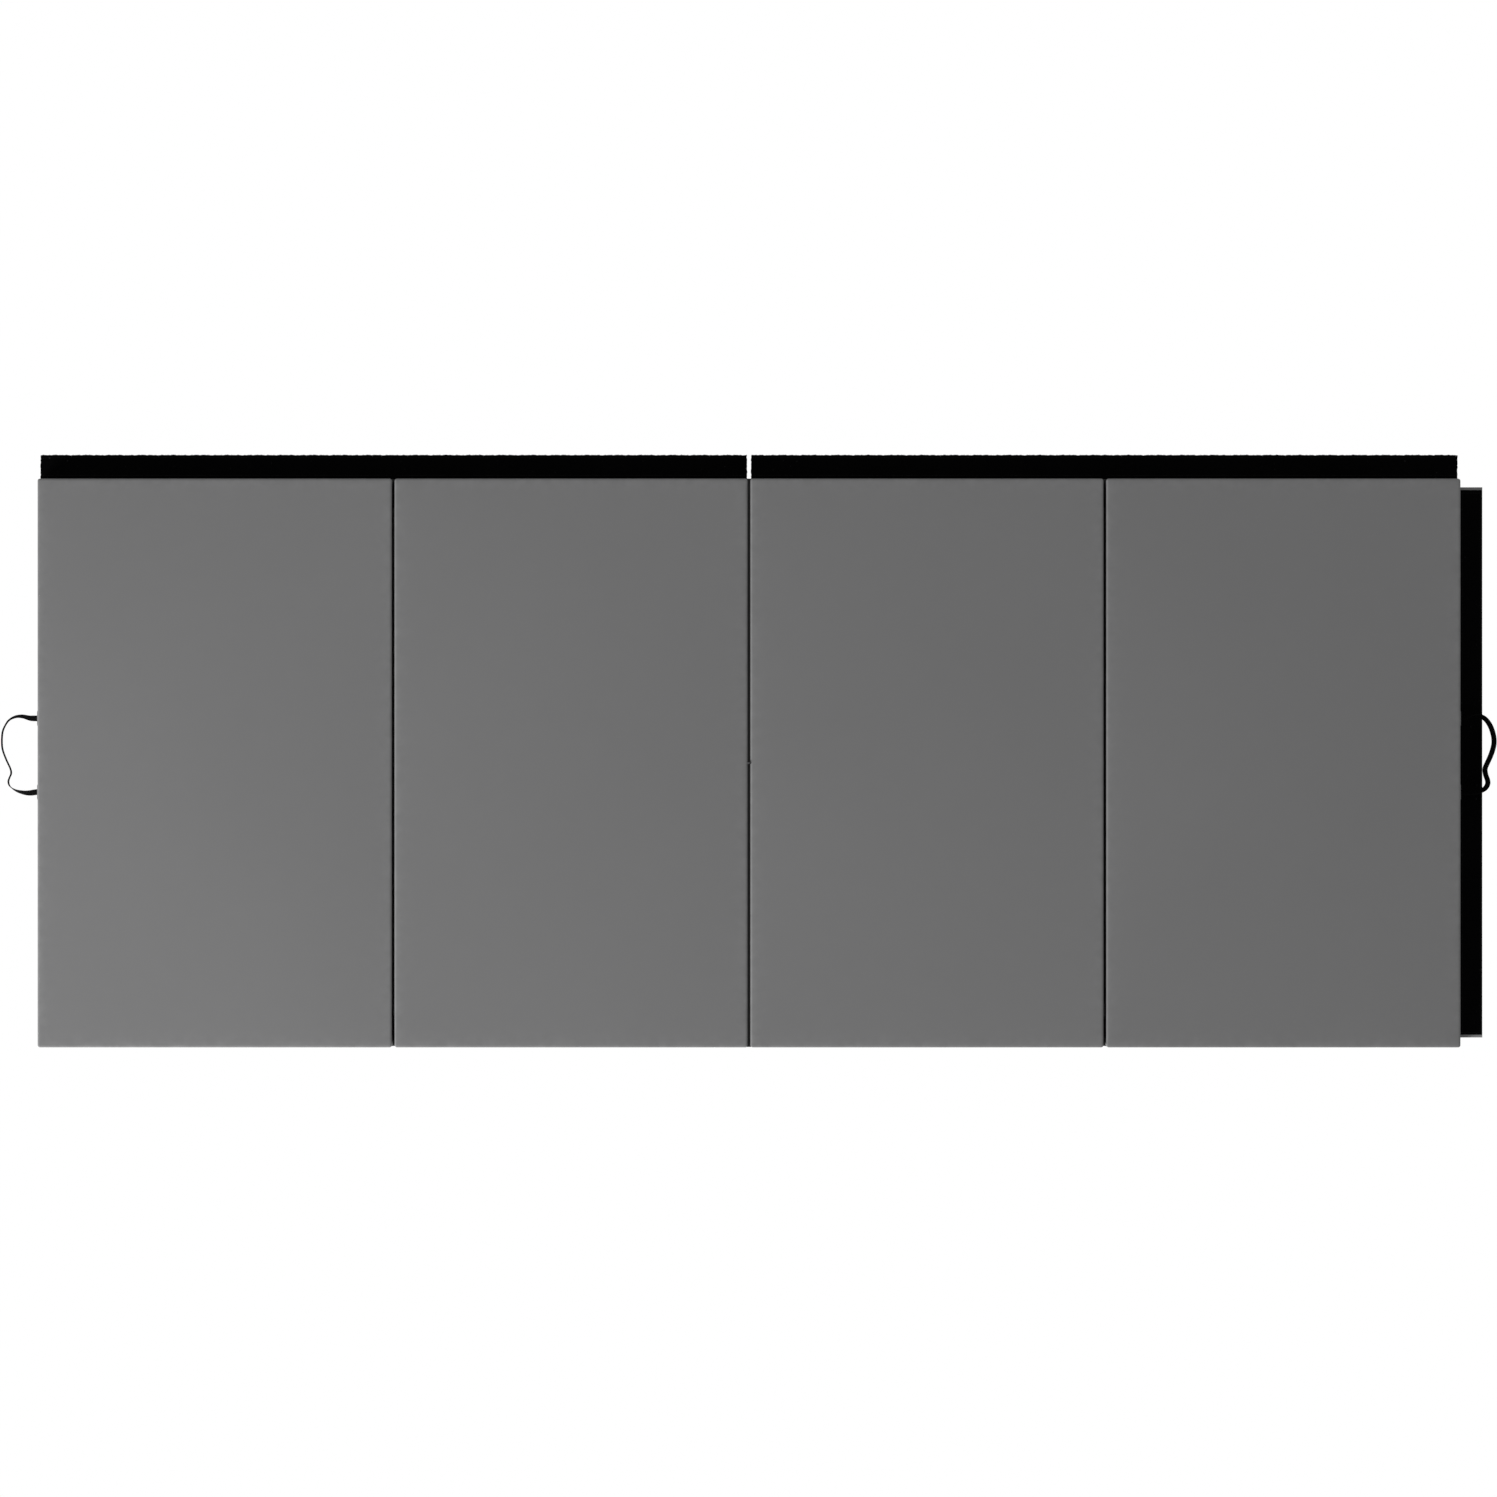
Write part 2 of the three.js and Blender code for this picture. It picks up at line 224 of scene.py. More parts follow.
def carried(name, points, finish, along, across, closed=False, shares=None):
    """A closed solid from a section carried along a path: points[i, k] is point k of the section at step
    i.

    The section closes on itself. A closed path does too, and an open one gets a flat face at each end.
    along and across are the distances that the surface pattern follows.
    """
    rows, columns = points.shape[:2]
    faces, (ci, ck) = quads(rows, columns, closed, True)
    uv = np.stack([along[ci], across[ck]], axis=-1).reshape(-1, 2)
    faces = faces.tolist()
    caps = []
    if not closed:
        start = list(range(columns))
        end = [(rows - 1) * columns + k for k in reversed(range(columns))]
        caps = [len(faces), len(faces) + 1]
        faces = faces + [start, end]
        uv = np.concatenate([uv, np.zeros((2 * columns, 2))])
    return new_piece(name, points, faces, finish, uv, shares, caps)


def repeated(name, points, faces, places, axes, finish):
    """One piece of many copies of a small shape: copy m's points are places[m] + points turned to
    axes[m], whose rows are the copy's own three directions."""
    count = len(points)
    moved = places[:, None, :] + np.einsum("pk,mkd->mpd", points, axes)
    all_faces = []
    for ring in faces:
        all_faces += (np.asarray(ring) + count * np.arange(len(places))[:, None]).tolist()
    return new_piece(name, moved, all_faces, finish)


def capsule(along, across, high, rings=3, sides=6):
    """Points and faces of a rounded grain: ring r stands at along/2 times -cos(pi r), with the radius
    sin(pi r)^0.6 stretched across and high, and one point closes each end."""
    turn = np.linspace(0, math.tau, sides, endpoint=False)
    polar = np.linspace(0, math.pi, rings + 2)[1:-1]
    x = np.repeat(-np.cos(polar)[:, None] * along / 2, sides, axis=1)
    y = np.sin(polar)[:, None] ** 0.6 * np.cos(turn) * across / 2
    z = np.sin(polar)[:, None] ** 0.6 * np.sin(turn) * high / 2
    points = np.stack([x, y, z], axis=-1).reshape(-1, 3)
    ends = np.array([[-along / 2, 0, 0], [along / 2, 0, 0]])
    body, _ = quads(rings, sides, False, True)
    start, end = rings * sides, rings * sides + 1
    first = [[start, (k + 1) % sides, k] for k in range(sides)]
    last = [[end, (rings - 1) * sides + k, (rings - 1) * sides + (k + 1) % sides] for k in range(sides)]
    return np.concatenate([points, ends]), [*body.tolist(), *first, *last]


def ripple(distance, seed):
    """A smooth irregular wave about 0.5, from about 0 to 1: the mean of five sines of unlike lengths."""
    lengths = np.array([0.0331, 0.0473, 0.0719, 0.1130, 0.1870])
    phases = np.sin(np.arange(1, 6) * (12.9898 + seed)) * 43.7
    waves = np.sin(math.tau * np.asarray(distance)[..., None] / lengths + phases)
    return 0.5 + waves.mean(axis=-1) / 1.6


def fray(distance, seed):
    """The wander of a cut pile edge, from -1 to 1: the sum of five sines of unlike lengths and sizes."""
    lengths = np.array([0.0043, 0.0071, 0.0127, 0.0231, 0.0610])
    sizes = np.array([0.16, 0.20, 0.24, 0.22, 0.18])
    phases = np.sin(np.arange(1, 6) * (78.233 + seed)) * 31.4
    return (np.sin(math.tau * np.asarray(distance)[..., None] / lengths + phases) * sizes).sum(axis=-1)


def ease(value, start, end):
    """0 before start, 1 after end, and 3t^2 - 2t^3 between them."""
    t = np.clip((np.asarray(value, float) - start) / (end - start), 0, 1)
    return t * t * (3 - 2 * t)


def within(value, low, high, soft):
    """1 between low and high, easing to 0 over soft on each side."""
    return ease(value, low - soft, low) * (1 - ease(value, high, high + soft))


def spaced(low, high, step, *extra):
    """Evenly spaced values about step apart, with extra values worked in."""
    values = np.linspace(low, high, max(2, round((high - low) / step)) + 1)
    return np.unique(np.concatenate([values, [v for v in extra if low < v < high]]))


def rolled(x0, x1, y0, y1, radius, cell, lip=0.0, turns=6, extra_x=(), extra_y=()):
    """Plan and outward normals of a sheet whose border rolls over.

    Inside, points stand on a plain grid. In the border rows the lean a goes from 0 to 1, and with t the
    way round a corner the normal is (sin(qa) cos t, sin(qa) sin t, cos(qa)), where q is a quarter turn. A
    last row turns in by the lip, as a seam allowance does. Returns x, y, the normals, and 1 where the
    sheet is turned in.
    """

    def line(low, high, extra):
        core = spaced(low + radius, high - radius, cell, *extra)
        lean = np.linspace(0, 1, turns + 1)[1:]
        lean = np.append(lean, 2.0) if lip else lean
        return (
            np.concatenate([np.full(len(lean), core[0]), core, np.full(len(lean), core[-1])]),
            np.concatenate([-lean[::-1], np.zeros(len(core)), lean])
        )

    px, ax = line(x0, x1, extra_x)
    py, ay = line(y0, y1, extra_y)
    px, py = np.meshgrid(px, py, indexing="ij")
    ax, ay = np.meshgrid(ax, ay, indexing="ij")
    wide = np.maximum(np.abs(ax), np.abs(ay))
    safe = np.where(wide > 0, wide, 1.0)
    wedge = math.pi / 4
    t = np.where(np.abs(ax) >= np.abs(ay), wedge * np.abs(ay) / safe, 2 * wedge - wedge * np.abs(ax) / safe)
    a = np.minimum(wide, 1.0) * math.pi / 2
    normal = np.stack(
        [np.sin(a) * np.cos(t) * np.sign(ax), np.sin(a) * np.sin(t) * np.sign(ay), np.cos(a)], axis=-1
    )
    turned = np.clip(wide - 1, 0, 1)
    reach = radius - lip * turned
    return px + reach * normal[..., 0], py + reach * normal[..., 1], normal, turned


def end_axes(side):
    """Directions along, up and out of a panel's end face that looks along +X (side 1) or -X (side -1)."""
    return np.array([[0, side, 0], [0, 0, 1.0], [side, 0, 0]])


def turned_plate(name, origin, axes, size_u, size_v, height, radius, finish, dome=0.0, waist=0.0):
    """A small plate with rounded edges, size_u by size_v, standing on the plane through origin.

    With n the normal's upward part, its upper side is at height (0.35 + 0.65 n) above that plane, plus a
    dome (1-u^2)(1-v^2), and a waist narrows its middle by 1 - waist (1-u^2). axes are its directions
    along, up and out.
    """
    along, up, out = axes
    cell = min(size_u, size_v) / 8
    x, y, normal, _ = rolled(-size_u / 2, size_u / 2, -size_v / 2, size_v / 2, radius, cell)
    u = 2 * x / size_u
    v = 2 * y / size_v
    y = y * (1 - waist * np.clip(1 - u**2, 0, 1))
    z = height * (0.35 + 0.65 * normal[..., 2]) + dome * np.clip((1 - u**2) * (1 - v**2), 0, 1)

    def placed(z_values):
        return np.array(origin) + x[..., None] * along + y[..., None] * up + z_values[..., None] * out

    return shell(name, placed(z), placed(np.zeros_like(z)), finish, np.stack([x, y], axis=-1))


def joined(name, pieces):
    """One piece of several that share a finish."""
    bpy.ops.object.select_all(action="DESELECT")
    for piece in pieces:
        piece.select_set(True)
    bpy.context.view_layer.objects.active = pieces[0]
    bpy.ops.object.join()
    pieces[0].name = name
    pieces[0].data.name = name
    return pieces[0]


# ---- Stitching ----


def row_of_stitches(start, end, pitch):
    """Middles and direction of the stitches along a straight line."""
    start = np.array(start, float)
    end = np.array(end, float)
    distance = np.linalg.norm(end - start)
    count = max(1, int(distance / pitch))
    share = (np.arange(count) + 0.5) / count
    direction = (end - start) / distance
    return start + share[:, None] * (end - start), np.repeat(direction[None], count, axis=0)


def stitching(name, rows, out, sizes, finish):
    """One piece of the stitches of several straight rows. out is the direction that the sewn face looks."""
    placed = [row_of_stitches(start, end, sizes.stitch_pitch) for start, end in rows]
    places = np.concatenate([p for p, _ in placed])
    along = np.concatenate([d for _, d in placed])
    up = np.repeat(np.array(out, float)[None], len(along), axis=0)
    side = np.cross(up, along)
    points, faces = capsule(sizes.stitch_length, sizes.thread, sizes.thread)
    return repeated(name, points, faces, places, np.stack([along, side, up], axis=1), finish)


def frame_rows(low_a, high_a, low_b, high_b, inset, place):
    """The four rows of a rectangle sewn round, inset from its edges. place(a, b) gives a point."""
    a0, a1, b0, b1 = low_a + inset, high_a - inset, low_b + inset, high_b - inset
    corners = [place(a0, b0), place(a1, b0), place(a1, b1), place(a0, b1)]
    return [(corners[i], corners[(i + 1) % 4]) for i in range(4)]


# ---- Node groups that several materials share ----


def fed(tree, node, inputs):
    """A node, its inputs set to values or linked to sockets."""
    for key, value in inputs.items():
        if isinstance(value, bpy.types.NodeSocket):
            tree.links.new(value, node.inputs[key])
        else:
            node.inputs[key].default_value = value
    return node


def put(tree, kind, inputs=None, **settings):
    """A new node with its settings and its inputs."""
    made = tree.nodes.new(kind)
    for key, value in settings.items():
        setattr(made, key, value)
    return fed(tree, made, inputs or {})


def maths(tree, operation, first, second=None, third=None):
    """The result of a Math node."""
    inputs = {i: v for i, v in enumerate((first, second, third)) if v is not None}
    return put(tree, "ShaderNodeMath", inputs, operation=operation).outputs[0]


def new_group(name, inputs, outputs):
    """An empty shader node group with named sockets, and its input and output nodes. It is None if it
    exists."""
    if name in bpy.data.node_groups:
        return None
    tree = bpy.data.node_groups.new(name, "ShaderNodeTree")
    kinds = {"vector": "NodeSocketVector", "value": "NodeSocketFloat", "colour": "NodeSocketColor"}
    for sockets, way in ((inputs, "INPUT"), (outputs, "OUTPUT")):
        for label, kind in sockets.items():
            tree.interface.new_socket(label, in_out=way, socket_type=kinds[kind])
    return tree, tree.nodes.new("NodeGroupInput").outputs, tree.nodes.new("NodeGroupOutput")


def use_group(tree, name, inputs):
    """The outputs of a shared group placed in a material with its own values."""
    return fed(tree, put(tree, "ShaderNodeGroup", node_tree=bpy.data.node_groups[name]), inputs).outputs


def grain_group():
    """Leather grain: cells about Cell across, whose edges are creases, under a finer noise."""
    made = new_group(
        "Leather Grain", {"Vector": "vector", "Cell": "value"}, {"Height": "value", "Crease": "value"}
    )
    if made is None:
        return
    tree, given, result = made
    scale = maths(tree, "DIVIDE", 1.0, given["Cell"])
    wander = put(tree, "ShaderNodeTexNoise", {"Vector": given["Vector"], "Scale": scale, "Detail": 2.0})
    push = put(
        tree, "ShaderNodeVectorMath", {0: wander.outputs["Color"], 1: (0.5, 0.5, 0.5)}, operation="SUBTRACT"
    )
    pushed = put(
        tree, "ShaderNodeVectorMath", {0: push.outputs[0], "Scale": given["Cell"]}, operation="SCALE"
    )
    bent = put(tree, "ShaderNodeVectorMath", {0: given["Vector"], 1: pushed.outputs[0]}, operation="ADD")
    cells = put(
        tree, "ShaderNodeTexVoronoi", {"Vector": bent.outputs[0], "Scale": scale},
        feature="DISTANCE_TO_EDGE"
    )
    pebble = put(tree, "ShaderNodeMapRange", {"Value": cells.outputs["Distance"], "From Max": 0.28})
    fine = put(tree, "ShaderNodeTexNoise", {"Vector": given["Vector"], "Scale": scale, "Detail": 4.0})
    height = maths(tree, "MULTIPLY_ADD", fine.outputs[0], 0.35, pebble.outputs[0])
    tree.links.new(height, result.inputs["Height"])
    tree.links.new(maths(tree, "SUBTRACT", 1.0, pebble.outputs[0]), result.inputs["Crease"])


def tone_group():
    """Uneven tone: the colour is made lighter and darker by Spread in patches about Size across, and in
    finer mottling a twelfth of that size."""
    made = new_group(
        "Uneven Tone", {"Vector": "vector", "Colour": "colour", "Size": "value", "Spread": "value"},
        {"Colour": "colour", "Patch": "value"}
    )
    if made is None:
        return
    tree, given, result = made
    scale = maths(tree, "DIVIDE", 1.0, given["Size"])
    broad = put(tree, "ShaderNodeTexNoise", {"Vector": given["Vector"], "Scale": scale, "Detail": 2.0})
    small = put(
        tree, "ShaderNodeTexNoise",
        {"Vector": given["Vector"], "Scale": maths(tree, "MULTIPLY", scale, 12.0), "Detail": 3.0}
    )
    both = maths(tree, "MULTIPLY_ADD", small.outputs[0], 0.5, broad.outputs[0])
    swing = maths(tree, "SUBTRACT", both, 0.75)
    value = maths(tree, "MULTIPLY_ADD", swing, maths(tree, "MULTIPLY", given["Spread"], 2.0), 1.0)
    toned = put(tree, "ShaderNodeHueSaturation", {"Value": value, "Color": given["Colour"]})
    tree.links.new(toned.outputs[0], result.inputs["Colour"])
    tree.links.new(both, result.inputs["Patch"])


def wear_group():
    """Seam wear: near a seam, where Share is 1, the colour goes towards Worn by Strength, broken up by a
    noise."""
    made = new_group(
        "Seam Wear",
        {"Vector": "vector", "Colour": "colour", "Worn": "colour", "Share": "value", "Strength": "value"},
        {"Colour": "colour", "Mask": "value"}
    )
    if made is None:
        return
    tree, given, result = made
    broken = put(tree, "ShaderNodeTexNoise", {"Vector": given["Vector"], "Scale": 55.0, "Detail": 5.0})
    patch = put(tree, "ShaderNodeMapRange", {"Value": broken.outputs[0], "From Min": 0.36, "From Max": 0.68})
    mask = maths(
        tree, "MULTIPLY", maths(tree, "MULTIPLY", given["Share"], given["Strength"]), patch.outputs[0]
    )
    mixed = put(tree, "ShaderNodeMix", {0: mask, 6: given["Colour"], 7: given["Worn"]}, data_type="RGBA")
    tree.links.new(mixed.outputs[2], result.inputs["Colour"])
    tree.links.new(mask, result.inputs["Mask"])


def weave_group():
    """Plain weave on a surface's own u and v in metres: along u the threads rise and fall once in Step,
    across v once in Width, and every other row is shifted by half a step."""
    made = new_group(
        "Woven Threads", {"Vector": "vector", "Step": "value", "Width": "value"}, {"Height": "value"}
    )
    if made is None:
        return
    tree, given, result = made
    split = put(tree, "ShaderNodeSeparateXYZ", {0: given["Vector"]}).outputs
    rows = maths(tree, "DIVIDE", split[1], given["Width"])
    shift = maths(tree, "MULTIPLY", maths(tree, "FLOORED_MODULO", maths(tree, "FLOOR", rows), 2.0), 0.5)
    steps = maths(tree, "ADD", maths(tree, "DIVIDE", split[0], given["Step"]), shift)
    over = maths(tree, "SINE", maths(tree, "MULTIPLY", maths(tree, "FRACT", steps), math.pi))
    side = maths(tree, "SINE", maths(tree, "MULTIPLY", maths(tree, "FRACT", rows), math.pi))
    tree.links.new(maths(tree, "MULTIPLY", over, side), result.inputs["Height"])


def pile_group():
    """Pile of a fastening tape: tufts about Tuft across, set in rows as Order goes from 0 to 1, with
    fibres over them and a few specks of lint."""
    made = new_group(
        "Tape Pile", {"Vector": "vector", "Tuft": "value", "Order": "value"},
        {"Height": "value", "Lint": "value"}
    )
    if made is None:
        return
    tree, given, result = made
    scale = maths(tree, "DIVIDE", 1.0, given["Tuft"])
    loose = maths(tree, "SUBTRACT", 1.0, given["Order"])
    tufts = put(
        tree, "ShaderNodeTexVoronoi", {"Vector": given["Vector"], "Scale": scale, "Randomness": loose},
        feature="F1"
    )
    dome = maths(tree, "SUBTRACT", 1.0, tufts.outputs["Distance"])
    fibres = put(
        tree, "ShaderNodeTexNoise",
        {
            "Vector": given["Vector"], "Scale": maths(tree, "MULTIPLY", scale, 2.6), "Detail": 6.0,
            "Distortion": 1.4
        }
    )
    height = maths(tree, "MULTIPLY_ADD", fibres.outputs[0], 0.9, dome)
    specks = put(tree, "ShaderNodeTexNoise", {"Vector": given["Vector"], "Scale": 160.0, "Detail": 2.0})
    lint = put(tree, "ShaderNodeMapRange", {"Value": specks.outputs[0], "From Min": 0.72, "From Max": 0.80})
    tree.links.new(height, result.inputs["Height"])
    tree.links.new(lint.outputs[0], result.inputs["Lint"])


# ---- Materials ----


def blank_material(name, **sockets):
    """A material with one Principled shader, its constant sockets set by name with spaces as
    underscores."""
    made = bpy.data.materials.new(name)
    made.use_nodes = True
    tree = made.node_tree
    shader = tree.nodes["Principled BSDF"]
    for key, value in sockets.items():
        shader.inputs[key.replace("_", " ")].default_value = value
    return made, tree, shader


def rgba(values):
    """A property's colour as a socket's four numbers."""
    return (*values, 1.0)


def bumped(tree, shader, height, distance, strength=1.0):
    """Feeds a height to the shader's normal, distance being the relief's real depth in metres."""
    bump = put(tree, "ShaderNodeBump", {"Height": height, "Distance": distance, "Strength": strength})
    tree.links.new(bump.outputs[0], shader.inputs["Normal"])


def uneven(tree, place, shade, size, spread):
    """The outputs of the Uneven Tone group for a shade, in patches about size across."""
    tone_group()
    inputs = {"Vector": place, "Colour": rgba(shade), "Size": size, "Spread": spread}
    return use_group(tree, "Uneven Tone", inputs)


def vinyl(name, shade, worn, cell, relief, rough, spread):
    """Coated vinyl: leather grain in relief, uneven tone, creases a little duller, and seams a little
    scuffed."""
    if name in bpy.data.materials:
        return bpy.data.materials[name]
    grain_group()
    wear_group()
    made, tree, shader = blank_material(name, Specular_IOR_Level=0.5)
    place = put(tree, "ShaderNodeTexCoord").outputs["Object"]
    share = put(tree, "ShaderNodeAttribute", attribute_name="seam_share").outputs["Fac"]
    grain = use_group(tree, "Leather Grain", {"Vector": place, "Cell": cell})
    tone = uneven(tree, place, shade, 0.55, spread)
    wear = use_group(
        tree, "Seam Wear",
        {"Vector": place, "Colour": tone["Colour"], "Worn": rgba(worn), "Share": share, "Strength": 0.35}
    )
    tree.links.new(wear["Colour"], shader.inputs["Base Color"])
    dull = maths(tree, "MULTIPLY_ADD", grain["Crease"], 0.10, rough - 0.02)
    patchy = maths(tree, "MULTIPLY_ADD", tone["Patch"], 0.06, dull)
    scuffed = maths(tree, "MULTIPLY_ADD", wear["Mask"], 0.20, patchy)
    tree.links.new(scuffed, shader.inputs["Roughness"])
    bumped(tree, shader, grain["Height"], relief, 0.7)
    return made


def cover_vinyl(colours):
    """Smooth gray cover vinyl with a faint grain."""
    worn = [v * 1.5 for v in colours.cover]
    return vinyl("cover vinyl", colours.cover, worn, cell=0.0014, relief=0.00003, rough=0.40, spread=0.035)


def base_vinyl(colours):
    """Darker under-side vinyl with a coarser, duller grain."""
    worn = [v * 1.7 for v in colours.base]
    return vinyl("base vinyl", colours.base, worn, cell=0.0026, relief=0.00022, rough=0.58, spread=0.08)


def foam_finish(colours):
    """Closed-cell foam: pale, with open-cut cells and a slight yellowing in patches."""
    name = "foam core"
    if name in bpy.data.materials:
        return bpy.data.materials[name]
    made, tree, shader = blank_material(name, Roughness=0.9, Specular_IOR_Level=0.25)
    place = put(tree, "ShaderNodeTexCoord").outputs["Object"]
    tone = uneven(tree, place, colours.foam, 0.3, 0.10)
    tree.links.new(tone["Colour"], shader.inputs["Base Color"])
    cells = put(tree, "ShaderNodeTexVoronoi", {"Vector": place, "Scale": 520.0}, feature="SMOOTH_F1")
    bumped(tree, shader, cells.outputs["Distance"], 0.0004)
    return made


def tape_finish(name, shade, tuft, order, relief, sheen, lint):
    """Fastening tape: tufts in relief, a soft sheen, and lint caught in the pile."""
    if name in bpy.data.materials:
        return bpy.data.materials[name]
    pile_group()
    made, tree, shader = blank_material(
        name, Roughness=0.95, Specular_IOR_Level=0.02, Sheen_Weight=sheen, Sheen_Roughness=0.5
    )
    place = put(tree, "ShaderNodeTexCoord").outputs["UV"]
    pile = use_group(tree, "Tape Pile", {"Vector": place, "Tuft": tuft, "Order": order})
    tone = uneven(tree, place, shade, 0.12, 0.5)
    caught = maths(tree, "MULTIPLY", pile["Lint"], lint)
    mixed = put(
        tree, "ShaderNodeMix", {0: caught, 6: tone["Colour"], 7: (0.16, 0.16, 0.16, 1.0)}, data_type="RGBA"
    )
    tree.links.new(mixed.outputs[2], shader.inputs["Base Color"])
    bumped(tree, shader, pile["Height"], relief)
    return made


def loop_finish(colours):
    """Soft loop pile, the deepest black on the mat."""
    return tape_finish(
        "loop pile", colours.loop, tuft=0.0017, order=0.1, relief=0.0006, sheen=0.010, lint=0.22
    )


def hook_finish(colours):
    """Hook tape: stiff hooks in rows."""
    return tape_finish(
        "hook tape", colours.hook, tuft=0.0018, order=0.85, relief=0.0009, sheen=0.02, lint=0.12
    )


def woven_finish(name, shade, step, width, relief, rough, specular):
    """Woven cloth that follows the surface's own u and v, with worn, paler threads along the edges."""
    if name in bpy.data.materials:
        return bpy.data.materials[name]
    weave_group()
    wear_group()
    made, tree, shader = blank_material(name, Specular_IOR_Level=specular)
    place = put(tree, "ShaderNodeTexCoord").outputs["UV"]
    share = put(tree, "ShaderNodeAttribute", attribute_name="seam_share").outputs["Fac"]
    weave = use_group(tree, "Woven Threads", {"Vector": place, "Step": step, "Width": width})
    tone = uneven(tree, place, shade, 0.05, 0.35)
    wear = use_group(
        tree, "Seam Wear",
        {
            "Vector": place, "Colour": tone["Colour"], "Worn": rgba([v * 3 for v in shade]), "Share": share,
            "Strength": 0.5
        }
    )
    tree.links.new(wear["Colour"], shader.inputs["Base Color"])
    tree.links.new(maths(tree, "MULTIPLY_ADD", weave["Height"], -0.12, rough), shader.inputs["Roughness"])
    bumped(tree, shader, weave["Height"], relief)
    return made


def webbing_finish(colours):
    """Handle webbing with coarse lengthwise threads."""
    return woven_finish(
        "handle webbing", colours.webbing, step=0.0030, width=0.0016, relief=0.0005, rough=0.85, specular=0.02
    )


def zip_tape_finish(colours):
    """Fine woven tape of the zippers."""
    return woven_finish(
        "zipper tape", colours.zip_tape, step=0.0012, width=0.0008, relief=0.00015, rough=0.80, specular=0.20
    )


def hinge_finish(colours):
    """Coated hinge cloth, whose weave shows through."""
    return woven_finish(
        "hinge cloth", colours.hinge, step=0.0016, width=0.0012, relief=0.00012, rough=0.62, specular=0.20
    )


def thread_finish(name, shade):
    """Twisted sewing thread: a fine slanting ply and a change of tone from stitch to stitch."""
    if name in bpy.data.materials:
        return bpy.data.materials[name]
    made, tree, shader = blank_material(name, Roughness=0.6, Specular_IOR_Level=0.35)
    place = put(tree, "ShaderNodeTexCoord").outputs["Object"]
    tone = uneven(tree, place, shade, 0.006, 0.3)
    tree.links.new(tone["Colour"], shader.inputs["Base Color"])
    ply = put(
        tree, "ShaderNodeTexWave", {"Vector": place, "Scale": 1400.0, "Distortion": 0.6},
        bands_direction="DIAGONAL"
    )
    bumped(tree, shader, ply.outputs["Fac"], 0.00012)
    return made


def black_thread(colours):
    """Thread on the tapes and patches."""
    return thread_finish("black thread", colours.black_thread)


def gray_thread(colours):
    """Thread on the vinyl."""
    return thread_finish("gray thread", colours.gray_thread)


def tack_thread(colours):
    """The seam tack's thread: the gray thread at 0.45 of its shade."""
    return thread_finish("tack thread", [v * 0.45 for v in colours.gray_thread])


def enamel_finish(colours):
    """Black enamel on cast zinc: an even coat with fine orange peel, rubbed a little on the raised
    parts."""
    name = "slider enamel"
    if name in bpy.data.materials:
        return bpy.data.materials[name]
    made, tree, shader = blank_material(name, Coat_Weight=0.5, Coat_Roughness=0.2)
    place = put(tree, "ShaderNodeTexCoord").outputs["Object"]
    tone = uneven(tree, place, colours.enamel, 0.004, 0.4)
    tree.links.new(tone["Colour"], shader.inputs["Base Color"])
    tree.links.new(maths(tree, "MULTIPLY_ADD", tone["Patch"], 0.25, 0.2), shader.inputs["Roughness"])
    peel = put(tree, "ShaderNodeTexNoise", {"Vector": place, "Scale": 900.0, "Detail": 2.0})
    bumped(tree, shader, peel.outputs[0], 0.00004)
    return made


# ---- Panels ----

# A hair's breadth, which keeps one surface just clear of another.
HAIR = 0.0001
PANEL_CORNER = 0.008
# How far in from a seam its gathers and its wear die away, and how far a sheet is turned in at it.
SEAM_REACH = 0.016
LIP = 0.003
SEAM_INSET = 0.0006
# The slow unevenness of a panel's top: its height, and its waves' turn for each metre along x and y.
SLOW_RISE = 0.00010
SLOW_TURN = (13.1, 9.7)


def top_seam(sizes, cover):
    """Height of the seam between a panel's top sheet and its wall."""
    return cover.z1 - sizes.crown - sizes.roll_height


def inset_sides(box, inset):
    """A box's sides in plan, moved in: left, right, front and back."""
    return box.x0 + inset, box.x1 - inset, box.y0 + inset, box.y1 - inset


def border_gap(x, y, box):
    """How far a point in plan is from the nearest side of a box, measured inwards along x and along y."""
    return (box.x1 - box.x0) / 2 - np.abs(x - box.x), (box.y1 - box.y0) / 2 - np.abs(y - box.y)


def crowned_top(x, y, normal, turned, box, sizes, number, seam):
    """Height of a top sheet: the panel's top less crown times 1 - (1-u^2)(1-v^2), rolled down to the seam
    by the normal's upward part, with puckers that die away from the seam and a slow unevenness of the
    foam."""
    u = (x - box.x) / (box.x1 - box.x0) * 2
    v = (y - box.y) / (box.y1 - box.y0) * 2
    fall = 1 - np.clip(1 - u**2, 0, 1) * np.clip(1 - v**2, 0, 1)
    top = box.z1 - sizes.crown * fall
    gap_x, gap_y = border_gap(x, y, box)
    near_x = np.exp(-np.maximum(gap_x, 0) / SEAM_REACH)
    near_y = np.exp(-np.maximum(gap_y, 0) / SEAM_REACH)
    gather = near_x * ripple(y, number) + near_y * ripple(x, number + 7)
    slow = np.sin(x * SLOW_TURN[0] + number * 1.7) * np.sin(y * SLOW_TURN[1] - number) * SLOW_RISE
    z = top - sizes.pucker * gather + (slow - SLOW_RISE) * (1 - fall)
    z = seam + (z - seam) * normal[..., 2] - 0.0003 * turned
    return z, np.maximum(near_x, near_y)


